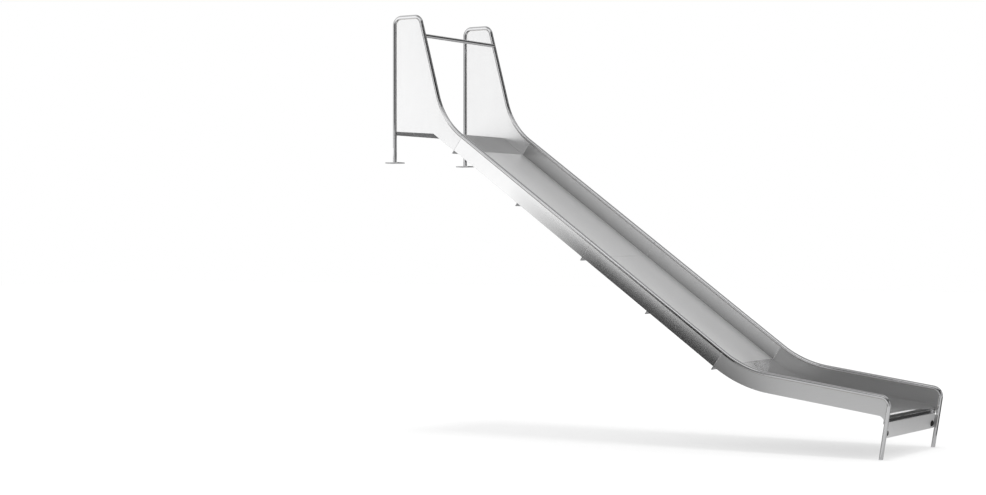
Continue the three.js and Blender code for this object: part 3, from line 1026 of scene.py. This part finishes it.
# %% [markdown]
# ## Seam bolts, nuts and sleeves
#
# Three bolts clamp the pair of angles at each seam, and a sleeve inside each rail lines up its two ends.
# The threads could be a bump, but they stand free under the floor, where a bump would leave a smooth
# outline.

# %% Seam bolts, nuts and sleeves
SEAM_BOLT_HEAD = 0.0075
SEAM_BOLT_HEAD_HEIGHT = 0.0053
SEAM_BOLT_TIP = 0.008
SEAM_THREAD_PITCH = 0.00125
SEAM_NUT_HEIGHT = 0.0065
SPIGOT_LENGTH = 0.028
SPIGOT_RADIUS = TUBE_BORE - 0.0005
SPIGOT_BORE = SPIGOT_RADIUS - 0.002

head_seat = -(SEAM_GAP / 2 + ANGLE_THICKNESS + SEAT)
bolt_end = head_seat + SEAM_GAP + 2 * ANGLE_THICKNESS + SEAT + SEAM_BOLT_TIP
nut_seat = -head_seat
bolt_sizes = (SEAM_BOLT_HEAD, SEAM_BOLT_HEAD_HEIGHT, SEAM_BOLT_RADIUS, SEAM_THREAD_PITCH)

for name, point in seams:
    seat = under(side_frame(point, CHUTE_FALL), FLOOR_DEPTH)
    for i, share in enumerate(BOLT_SHARES, start=1):
        bolt_frame = seat @ Matrix.Translation((0, share * FLOOR_WIDTH, SEAM_BOLT_DROP - SEAT))
        bolt = hex_bolt(*bolt_sizes, head_seat, bolt_end)
        piece(f"{name}_hex_bolt_{i}", bolt, MILL, "fitting", f"{name}_bolt_{i}", place=bolt_frame)
        nut = hex_nut(SEAM_BOLT_HEAD, SEAM_BOLT_RADIUS, nut_seat, nut_seat + SEAM_NUT_HEIGHT)
        piece(f"{name}_hex_nut_{i}", nut, MILL, "fitting", place=bolt_frame)
    for side_name, side in SIDES:
        ends = [(point + chute_heading * (end * SPIGOT_LENGTH / 2), chute_heading) for end in (-1, 1)]
        sleeve = swept_tube(ends, side * HALF_GAUGE, SPIGOT_RADIUS, SPIGOT_BORE)
        piece(f"{name}_{side_name}_sleeve", sleeve, MILL, "fitting", f"{name}_{side_name}_spigot")
print_fit()

# %% [markdown]
# ## Cross plate and brackets
#
# A plate ties the two legs together under the nose, bolted to a small bent bracket behind each leg. All of
# it leans with the legs, so it is drawn upright in the leg's own frame and turned at the end, which is
# easier than working out each leaning corner.

# %% Cross plate
CROSS_PLATE_LAP = 0.007
CROSS_PLATE_HEIGHT = 0.109
CROSS_PLATE_CORNER = 0.003
BRACKET_THICKNESS = 0.004
CAP_DROP = 0.073
CAP_INSET = 0.045
COVER_BOLT_RADIUS = 0.005
COVER_DRILL_LENGTH = 0.04

leg_frame = side_frame(leg_foot, LEG_LEAN)
plate_top = (leg_foot - nose_end).dot(leg_heading) + CROSS_PLATE_LAP
plate_bottom = plate_top - CROSS_PLATE_HEIGHT
plate_front = -SHEET_EDGE
plate_back = plate_front - SHEET
bracket_side = HALF_GAUGE - SHEET_EDGE
plate_half = bracket_side - BRACKET_THICKNESS - SEAT
cap_height = plate_top - CAP_DROP
cap_offset = plate_half - CAP_INSET


def cap_hole(side):
    middle = (-COVER_DRILL_LENGTH / 2, side * cap_offset, cap_height)
    return cutter(COVER_BOLT_RADIUS + SEAT, middle, COVER_DRILL_LENGTH)


outline = [(-plate_half, plate_bottom), (plate_half, plate_bottom)]
outline += [(plate_half, plate_top), (-plate_half, plate_top)]
cross = soft_prism(rounded(outline, (CROSS_PLATE_CORNER,) * 4), "X", plate_back, plate_front)
cross = bored(cross, [cap_hole(side) for _, side in SIDES])
piece("leg_cross_plate", cross, plate_sheet, "sheet", "cross_plate", place=leg_frame)
print_fit()

# %% Brackets
BRACKET_LENGTH = 0.080
BRACKET_HEIGHT = 0.092
BRACKET_DEPTH = 0.026
BRACKET_DROP = 0.012
BRACKET_BEND = 0.006
BRACKET_CORNER = 0.001

bracket_top = plate_top - BRACKET_DROP
bracket_bottom = bracket_top - BRACKET_HEIGHT
arm_front = plate_back - SEAT
arm_back = arm_front - BRACKET_THICKNESS
bracket_front = arm_back + BRACKET_DEPTH
inner_bend = BRACKET_BEND - BRACKET_THICKNESS
bracket_radii = (BRACKET_BEND, BRACKET_CORNER, BRACKET_CORNER, inner_bend, BRACKET_CORNER, BRACKET_CORNER)

for side_name, side in SIDES:
    outer, inner = side * bracket_side, side * (bracket_side - BRACKET_THICKNESS)
    end = side * (bracket_side - BRACKET_LENGTH)
    outline = [(arm_back, outer), (bracket_front, outer), (bracket_front, inner)]
    outline += [(arm_front, inner), (arm_front, end), (arm_back, end)]
    bracket = soft_prism(rounded(outline, bracket_radii), "Z", bracket_bottom, bracket_top)
    bracket, node = bored(bracket, [cap_hole(side)]), f"{side_name}_leg_bracket"
    piece(f"{side_name}_bent_bracket", bracket, MILL, "fitting", node, place=leg_frame)
print_fit()

# %% [markdown]
# ## Cover bolts and caps
#
# A domed plastic cap hides each bolt of the cross plate, so that no thread can catch clothes. It is hollow,
# to clear the bolt's head. A squashed sphere would have no rim, so two domes are turned, one inside the
# other, and joined by a small flat rim that sits on the plate.

# %% Domed cap
CAP_RADIUS = 0.022
CAP_HEIGHT = 0.015
CAP_WALL = 0.003
CAP_RIM = 0.0016
CAP_BREAK = 0.0004
CAP_STEPS = 48
CAP_RINGS = 12


def dome(foot, radius, height):
    """Places and radii of the rings of a dome, from above its foot to below its pole."""
    angles = [math.pi / 2 * step / CAP_RINGS for step in range(1, CAP_RINGS)]
    return [(foot + (height - foot) * math.sin(angle), radius * math.cos(angle)) for angle in angles]


def domed_cap():
    bm = bmesh.new()
    hollow_radius, hollow_height = CAP_RADIUS - CAP_WALL, CAP_HEIGHT - CAP_WALL
    outer = [(0, CAP_RADIUS - CAP_BREAK), (CAP_BREAK, CAP_RADIUS), (CAP_RIM, CAP_RADIUS)]
    outer += dome(CAP_RIM, CAP_RADIUS, CAP_HEIGHT)
    inner = [(0, hollow_radius)] + dome(0, hollow_radius, hollow_height)
    feet = []
    for profile, top in ((outer, CAP_HEIGHT), (inner, hollow_height)):
        rings = [turned_ring(bm, x, radius, CAP_STEPS) for x, radius in profile]
        for ring_a, ring_b in zip(rings, rings[1:]):
            bridge(bm, ring_a, ring_b)
        pole = bm.verts.new((top, 0, 0))
        for i in range(CAP_STEPS):
            bm.faces.new((rings[-1][i - 1], rings[-1][i], pole))
        feet.append(rings[0])
    bridge(bm, *feet)
    return bm


print("a cap is", 1000 * CAP_HEIGHT, "mm high")

# %% Cover bolts and caps
COVER_HEAD = 0.0098
COVER_HEAD_HEIGHT = 0.0064
COVER_NUT_HEIGHT = 0.008
COVER_TIP = 0.004
COVER_PITCH = 0.0015

stack = SEAT + SHEET + SEAT + BRACKET_THICKNESS + SEAT
cover_sizes = (COVER_HEAD, COVER_HEAD_HEIGHT, COVER_BOLT_RADIUS, COVER_PITCH)
turned_back = Matrix.Rotation(math.pi, 4, "Z")

for side_name, side in SIDES:
    bolt_frame = leg_frame @ Matrix.Translation((plate_front + SEAT, side * cap_offset, cap_height))
    bolt = hex_bolt(*cover_sizes, 0, stack + COVER_NUT_HEIGHT + COVER_TIP)
    node, place = f"{side_name}_cover_bolt", bolt_frame @ turned_back
    piece(f"{side_name}_cap_hex_bolt", bolt, MILL, "fitting", node, place=place)
    nut = hex_nut(COVER_HEAD, COVER_BOLT_RADIUS + SEAT, -stack - COVER_NUT_HEIGHT, -stack)
    piece(f"{side_name}_cap_hex_nut", nut, MILL, "fitting", f"{side_name}_cover_nut", place=bolt_frame)
    piece(f"{side_name}_domed_cap", domed_cap(), PLASTIC, "cap", f"{side_name}_bolt_cap", place=bolt_frame)
print_fit()

# %% [markdown]
# ## Anchor plates and foot plugs
#
# A plate with four holes is welded under each rear post, and a plug closes the end of each leg. Both are
# hardly seen, but they carry the slide and keep water out of the tube, so they are made like the rest.

# %% Anchor plates and foot plugs
ANCHOR_LENGTH = 0.120
ANCHOR_WIDTH = 0.100
ANCHOR_THICKNESS = 0.008
ANCHOR_HOLE_RADIUS = 0.0065
ANCHOR_HOLE_INSET = 0.018
ANCHOR_CORNER = 0.006
PLUG_LENGTH = 0.025


def four_corners(centre, inset):
    """The corners of the anchor plate, or of a smaller rectangle inside it."""
    half_x, half_y = ANCHOR_LENGTH / 2 - inset, ANCHOR_WIDTH / 2 - inset
    signs = ((-1, -1), (1, -1), (1, 1), (-1, 1))
    return [(centre.x + sx * half_x, centre.y + sy * half_y) for sx, sy in signs]


for side_name, side in SIDES:
    centre = spot(post_foot, side * HALF_GAUGE)
    top = centre.z - SEAT
    outline = rounded(four_corners(centre, 0), (ANCHOR_CORNER,) * 4)
    foot = soft_prism(outline, "Z", top - ANCHOR_THICKNESS, top)
    places = [(x, y, top) for x, y in four_corners(centre, ANCHOR_HOLE_INSET)]
    holes = [cutter(ANCHOR_HOLE_RADIUS, place, COVER_DRILL_LENGTH, along="Z") for place in places]
    piece(f"{side_name}_post_plate", bored(foot, holes), MILL, "fitting", f"{side_name}_anchor_plate")

    plug_path = [(leg_foot - leg_heading * PLUG_LENGTH, leg_heading), (leg_foot, leg_heading)]
    plug = swept_tube(plug_path, side * HALF_GAUGE, TUBE_BORE - SEAT)
    cut_level(plug, leg_heading)
    piece(f"{side_name}_leg_plug", plug, MILL, "fitting", f"{side_name}_foot_plug")
print_fit()

# %% [markdown]
# ## Weld beads
#
# A fine bead joins tube and sheet in the corner between them. It could be a plain tube along the path, but
# a real bead is a row of frozen drops, so its radius swells and shrinks with each ripple, wanders a little
# and dies away at both ends.

# %% Bead helper
RIPPLE = 0.003
RIPPLE_SHARE = 0.1
WANDER_SHARE = 0.05
WANDER_STEP = 1.3
TIP_SHARE = 0.15
TIP_RINGS = 3
BEAD_SIDES = 6
ACROSS = Vector((0, 1, 0))
UPWARD = Vector((0, 0, 1))


def bead(bm, points, across, radius, closed=False):
    """Adds a rippled bead along 3D points; across is any direction that isn't along the path."""
    lengths = [0]
    for a, b in zip(points, points[1:]):
        lengths.append(lengths[-1] + (b - a).length)
    count = max(4, 2 * round(lengths[-1] / RIPPLE))
    rings = []
    segment = 0
    for i in range(count + (0 if closed else 1)):
        distance = lengths[-1] * i / count
        while segment < len(points) - 2 and lengths[segment + 1] < distance:
            segment += 1
        a, b = points[segment], points[segment + 1]
        centre = a.lerp(b, (distance - lengths[segment]) / (b - a).length)
        first = (b - a).normalized().cross(across).normalized()
        second = (b - a).normalized().cross(first)
        size = radius * (1 + RIPPLE_SHARE * (-1) ** i + WANDER_SHARE * math.sin(WANDER_STEP * i))
        if not closed:
            size *= min(1, TIP_SHARE + min(i, count - i) / TIP_RINGS)
        rims = [(first * math.cos(angle) + second * math.sin(angle)) * size for angle in turns(BEAD_SIDES)]
        rings.append([bm.verts.new(centre + rim) for rim in rims])
    skin(bm, rings, closed)


def weld_piece(name, *beads):
    """A piece of beads, each with its points, a direction across, its radius, and True if it is a loop."""
    bm = bmesh.new()
    for values in beads:
        bead(bm, *values)
    print(name, "has", len(bm.verts), "points")
    piece(name, bm, WELD, "fitting", sharp=180)


print("a bead ripples every", 1000 * RIPPLE, "mm")

# %% [markdown]
# ## Beads between rail and sheet
#
# The longest welds run between rail and wall, on both faces of the sheet. They follow the same path as the
# sheet's upper edge and stop short of each seam, because nobody welds over a joint that is bolted.

# %% Beads between rail and sheet
BEAD_RADIUS = 0.0014
BEAD_LIFT = 0.0002
BEAD_REACH = SHEET / 2 + 0.0006
BEAD_END = 0.002


def trimmed(stations):
    """The path without its first and last two millimetres."""
    (first, first_heading), (last, last_heading) = stations[0], stations[-1]
    start = (first + first_heading * BEAD_END, first_heading)
    end = (last - last_heading * BEAD_END, last_heading)
    return [start, *stations[1:-1], end]


weld_paths = [("start", start_panel_path), ("exit", exit_wall_path), *chute_paths]
for side_name, side in SIDES:
    for name, path in weld_paths:
        points = offset_points(trimmed(path), TUBE_RADIUS + BEAD_LIFT)
        faces = [side * HALF_GAUGE + face * BEAD_REACH for face in (-1, 1)]
        beads = [([spot(point, y) for point in points], ACROSS, BEAD_RADIUS) for y in faces]
        weld_piece(f"{side_name}_{name}_rail_weld", *beads)

# %% [markdown]
# ## Stitches under the floors
#
# A long weld would warp thin sheet, so floors are only stitched to the walls, and angles to the floors, in
# short beads at an even pitch. Straight runs alone get stitches, as in the workshop.

# %% Stitches along the walls
STITCH = 0.030
STITCH_PITCH = 0.150
STITCH_RADIUS = 0.0018
STITCH_LIFT = 0.0003


def stitches(stations, y):
    """Short beads at an even pitch along the straight runs of a path."""
    made = []
    for (a, heading), (b, _) in zip(stations, stations[1:]):
        run = (b - a).length
        count = int((run - STITCH) / STITCH_PITCH) + 1 if run > 2 * STITCH else 0
        for i in range(count):
            middle = a + heading * (run * (i + 0.5) / count)
            ends = [spot(middle + heading * end * STITCH / 2, y) for end in (-1, 1)]
            made.append((ends, ACROSS, STITCH_RADIUS))
    return made


start_run = [(floor_rear, platform_heading), (floor_kink, chute_heading), (start_floor_tail, chute_heading)]
floor_runs = [("start", start_run, 0)]
floor_runs += [(name, path, FLOOR_DEPTH) for name, path in chute_paths]
after_bend = [(point, heading) for point, heading in exit_floor_path if point.x > exit_floor_corner.x]
floor_runs.append(("exit", after_bend[:-2], 0))
for name, path, depth in floor_runs:
    depth += SHEET + STITCH_LIFT
    seam_path = [(below(point, heading, depth), heading) for point, heading in path]
    reach = FLOOR_WIDTH / 2 - STITCH_LIFT
    beads = [bead_row for _, side in SIDES for bead_row in stitches(seam_path, side * reach)]
    weld_piece(f"{name}_floor_stitches", *beads)

# %% Stitches along the angles
ANGLE_STITCHES = 6

for name, _, seat, way, _ in angle_seats:
    beads = []
    for i in range(ANGLE_STITCHES):
        y = FLOOR_WIDTH * ((i + 0.5) / ANGLE_STITCHES - 0.5)
        x = way * (ANGLE_LEG + STITCH_LIFT)
        ends = [seat @ Vector((x, y + end * STITCH / 2, -STITCH_LIFT)) for end in (-1, 1)]
        beads.append((ends, UPWARD, STITCH_RADIUS))
    weld_piece(f"{name}_angle_stitches", *beads)

# %% [markdown]
# ## Beads round the guard bar, the posts and the brackets
#
# Round joints are welded all round, so their beads are closed loops. The one at the guard bar follows the
# saddle of the bar's end. The brackets are only welded along their two upright edges.

# %% Beads round the guard bar, the posts and the brackets
LOOP_STEPS = 48
POST_BEAD_RADIUS = 0.0022
POST_BEAD_GAP = 0.0004
BRACKET_BEAD_INSET = 0.004
LEG_BEAD_X = -0.0075

loop_angles = turns(LOOP_STEPS) + [2 * math.pi]
for side_name, side in SIDES:
    loop = []
    for angle in loop_angles:
        offset = Vector((math.cos(angle), math.sin(angle))) * (TUBE_RADIUS + BEAD_LIFT)
        loop.append(spot(bar_point + offset, side * (saddle_reach(offset) - POST_BEAD_GAP)))
    weld_piece(f"{side_name}_guard_bar_weld", (loop, ACROSS, BEAD_RADIUS, True))

    centre, reach = spot(post_foot, side * HALF_GAUGE), TUBE_RADIUS + POST_BEAD_GAP
    loop = [centre + Vector((reach * math.cos(angle), reach * math.sin(angle), 0)) for angle in loop_angles]
    weld_piece(f"{side_name}_post_weld", (loop, UPWARD, POST_BEAD_RADIUS, True))

    beads = []
    for x in (LEG_BEAD_X, bracket_front + POST_BEAD_GAP):
        y = side * (bracket_side + BEAD_LIFT)
        heights = (bracket_bottom + BRACKET_BEAD_INSET, bracket_top - BRACKET_BEAD_INSET)
        beads.append(([leg_frame @ Vector((x, y, z)) for z in heights], ACROSS, STITCH_RADIUS))
    weld_piece(f"{side_name}_bracket_weld", *beads)

# %% [markdown]
# ## Floor and world
#
# Floor and world are plain white, as in a small studio. A matt white floor alone would come out grey under
# a lamp that suits the steel, so it also glows a little, and still keeps the slide's soft shadow.

# %% Floor and world
FLOOR_SIZE = 80
FLOOR_PAINT = (0.48, 0.48, 0.48, 1)
FLOOR_GLOW = 0.48
WHITE = (1, 1, 1, 1)


def stage_mesh(name, verts, faces, material):
    mesh = bpy.data.meshes.new(name)
    mesh.from_pydata(verts, [], faces)
    mesh.materials.append(material)
    made = add_object(name, mesh)
    return made


def level_corners(low, high, z):
    (x0, y0), (x1, y1) = low, high
    return [(x0, y0, z), (x1, y0, z), (x1, y1, z), (x0, y1, z)]


paint = Finish("floor_paint")
matt = paint.node("BsdfDiffuse", None, {"Color": FLOOR_PAINT})
glow = paint.node("Emission", None, {"Color": WHITE, "Strength": FLOOR_GLOW})
floor_paint = paint.end("AddShader", {0: matt.outputs[0], 1: glow.outputs[0]})
half = FLOOR_SIZE / 2
stage_mesh("floor", level_corners((-half, -half), (half, half), 0), [(0, 1, 2, 3)], floor_paint)

world = bpy.data.worlds.new("white_room")
world.use_nodes = True
world.node_tree.nodes["Background"].inputs["Color"].default_value = WHITE
world.node_tree.nodes["Background"].inputs["Strength"].default_value = 1.0
bpy.context.scene.world = world

# %% [markdown]
# ## Lamp
#
# One wide, soft lamp overhead gives the shadow on the floor. In polished metal it would be a hard spot, so
# it is hidden from reflections, and what the steel shows comes from the cards.

# %% Lamp
LAMP_PLACE = Vector((0, 0, 6))
LAMP_AIM = Vector((0.3, 0.1, 0))
LAMP_STRENGTH = 0.7
LAMP_WIDTH = math.radians(14)

sun = bpy.data.lights.new("overhead", "SUN")
sun.energy = LAMP_STRENGTH
sun.angle = LAMP_WIDTH
overhead = add_object("overhead", sun)
overhead.location = LAMP_PLACE
overhead.rotation_euler = (LAMP_AIM - LAMP_PLACE).to_track_quat("-Z", "Y").to_euler()
overhead.visible_camera = False
overhead.visible_glossy = False
print("lamp of strength", LAMP_STRENGTH)

# %% [markdown]
# ## Cards
#
# Polished metal only shows what stands round it, so a white room alone would leave it flat. A picture on
# the world could change that, but white, grey and black cards, as photographers use them, are few and easy
# to move. They show in reflections only and light nothing. They give the tubes their dark lines and the
# sheets their slow fall from light to dark.

# %% Card helpers
CARD_STEP = 10
SLIDE_MIDDLE = Vector((0, 0, 1.2))
ROOM_DISTANCE = 28


def reflected_card(name, verts, faces, shade):
    """A glowing card that only reflections show."""
    material = Finish(name).end("Emission", {"Color": WHITE, "Strength": shade})
    made = stage_mesh(name, verts, faces, material)
    for ray in ("camera", "diffuse", "shadow"):
        setattr(made, "visible_" + ray, False)


def flat_card(name, corners, shade):
    reflected_card(name, corners, [tuple(range(len(corners)))], shade)


def around(azimuth, height):
    """A place on the room's sphere: azimuth 0 is towards -Y, 90 towards +X; height is above the level."""
    a, e = math.radians(azimuth), math.radians(height)
    way = Vector((math.sin(a) * math.cos(e), -math.cos(a) * math.cos(e), math.sin(e)))
    return SLIDE_MIDDLE + ROOM_DISTANCE * way


def room_card(name, azimuths, heights, shade):
    """A card on the room's sphere, between two azimuths and two heights."""
    columns = max(1, round((azimuths[1] - azimuths[0]) / CARD_STEP))
    rows = max(1, round((heights[1] - heights[0]) / CARD_STEP))
    verts, faces = [], []
    for i in range(columns + 1):
        for j in range(rows + 1):
            azimuth = azimuths[0] + (azimuths[1] - azimuths[0]) * i / columns
            verts.append(around(azimuth, heights[0] + (heights[1] - heights[0]) * j / rows))
    for i in range(columns):
        for j in range(rows):
            first = i * (rows + 1) + j
            faces.append((first, first + 1, first + rows + 2, first + rows + 1))
    reflected_card(name, verts, faces, shade)


print("room cards turn every", CARD_STEP, "degrees")

# %% Cards round the room
ROOM_CARDS = (
    ("room_front_left", (-110, -15), (-4, 22), 0.40),
    ("room_back", (192, 250), (-4, 22), 0.40),
    ("nose_box", (174, 192), (-4, 22), 1.20),
    ("right_card", (66, 118), (-4, 30), 0.63),
    ("right_high_card", (66, 118), (30, 45), 0.25),
    ("front_flag", (-15, 12), (-4, 21), 0.03),
    ("front_right_flag", (12, 66), (-4, 42), 0.02),
    ("back_flag", (118, 174), (-4, 42), 0.08),
    ("front_box", (-15, 12), (21, 45), 1.30),
    ("back_box", (174, 250), (22, 45), 0.62),
    ("left_high_card", (-110, -32), (22, 68), 0.75),
    ("front_high_card", (-32, 90), (45, 68), 0.56),
    ("front_left_card", (-32, -15), (22, 45), 0.45),
    ("back_high_card", (90, 250), (45, 68), 0.52),
    ("ceiling_card", (-180, 180), (68, 89.5), 0.31),
)
for values in ROOM_CARDS:
    room_card(*values)
print(len(ROOM_CARDS), "cards stand", ROOM_DISTANCE, "m off")

# %% [markdown]
# ## Cards in front and on the floor
#
# Upright cards five metres in front shape the near walls, and cards flat on the floor shape what faces
# down. One large card could stand there, but each part of the steel looks at its own part of the room, so
# each gets its own shade.

# %% Cards in front and on the floor
FRONT_DISTANCE = 5
CARD_HEIGHT = 0.004
FLAG_HEIGHT = 0.008
TOP_CARD_HEIGHT = 2.2
FLAG_SHADE = 0.03
FRONT_CARDS = (
    ("left_box", [(-6.8, 0), (-2.9, 0), (-2.9, 2.6), (-3.9, 2.6), (-3.9, 5.0), (-6.8, 5.0)], 1.40),
    ("left_edge_card", [(-2.9, 0), (-1.6, 0), (-1.6, 2.6), (-2.9, 2.6)], 1.05),
    ("low_card", [(-1.6, 0), (7, 0), (7, 1.1), (-1.6, 1.0)], 0.58),
    ("low_flag", [(-1.6, 1.0), (7, 1.1), (7, 3.4), (-1.6, 2.8)], FLAG_SHADE),
)
FLOOR_CARDS = (
    ("floor_left_card", (-40, -40), (0.5, -0.7), 0.48),
    ("floor_right_card", (0.5, -5), (4, -0.7), 0.74),
    ("floor_front_card", (0.5, -40), (40, -5), 0.50),
    ("floor_side_card", (4, -5), (40, -0.7), 0.50),
    ("floor_back_card", (-40, -0.7), (40, 40), 0.59),
)
NOSE_FAN = ((2.25, 0.4), (3.6, 0.4), (6.2, 6.5), (3.4, 6.5), (2.25, 2.2))

for name, outline, shade in FRONT_CARDS:
    flat_card(name, [(x, -FRONT_DISTANCE, z) for x, z in outline], shade)
for name, low, high, shade in FLOOR_CARDS:
    flat_card(name, level_corners(low, high, CARD_HEIGHT), shade)
flat_card("nose_flag", [(x, y, FLAG_HEIGHT) for x, y in NOSE_FAN], FLAG_SHADE)
flat_card("top_rail_card", level_corners((-3.6, -2.2), (-2.15, 0.3), TOP_CARD_HEIGHT), 1.05)
print(len(FRONT_CARDS) + len(FLOOR_CARDS) + 2, "cards in front, on the floor and over the top rail")

# %% [markdown]
# ## Dark cards beside the chute
#
# The lower part of the near chute wall shows something dark close by, which fades in down the chute. One
# dark card would end in a hard line, so a row of steps leads into it. They stand well clear of the slide
# and slant down to the floor, and a last one lies flat under the chute.

# %% Dark cards beside the chute
BESIDE_DISTANCE = 0.60
BESIDE_DROP = 0.13
BESIDE_SLANT = Vector((0, 0.2, -1.6))
BESIDE_SHADE = 0.045
FADE_TOP = 0.20
FADE_END = 1.08
FADE_STEPS = 8
FADE_RANGE = 1.2
BESIDE_END = 2.75


def beside_chute(s):
    """A place beside the lower edge of the near chute wall, s metres down the chute from the start seam."""
    edge = below(start_seam + chute_heading * s, chute_heading, SIDE_DEPTH)
    return spot(edge, -HALF_GAUGE - BESIDE_DISTANCE) - Vector((0, 0, BESIDE_DROP))


def beside_card(name, first, last, shade):
    top = [beside_chute(first), beside_chute(last)]
    flat_card(name, top + [corner + BESIDE_SLANT for corner in reversed(top)], shade)


for step in range(FADE_STEPS):
    first, last = [FADE_TOP + (FADE_END - FADE_TOP) * (step + k) / FADE_STEPS for k in (0, 1)]
    shade = BESIDE_SHADE + FADE_RANGE * (1 - (step + 0.5) / FADE_STEPS)
    beside_card(f"beside_fade_card_{step}", first, last, shade)
beside_card("beside_card", FADE_END, BESIDE_END, BESIDE_SHADE)
flat_card("under_flag", level_corners((-3.0, -1.5), (0.2, 0.4), FLAG_HEIGHT), FLAG_SHADE)
print(FADE_STEPS, "steps of", round((FADE_END - FADE_TOP) / FADE_STEPS, 3), "m")

# %% [markdown] ## Finish  The Standard view shows a colour about as it is written.

# %% Finish
bpy.context.scene.view_settings.view_transform = "Standard"
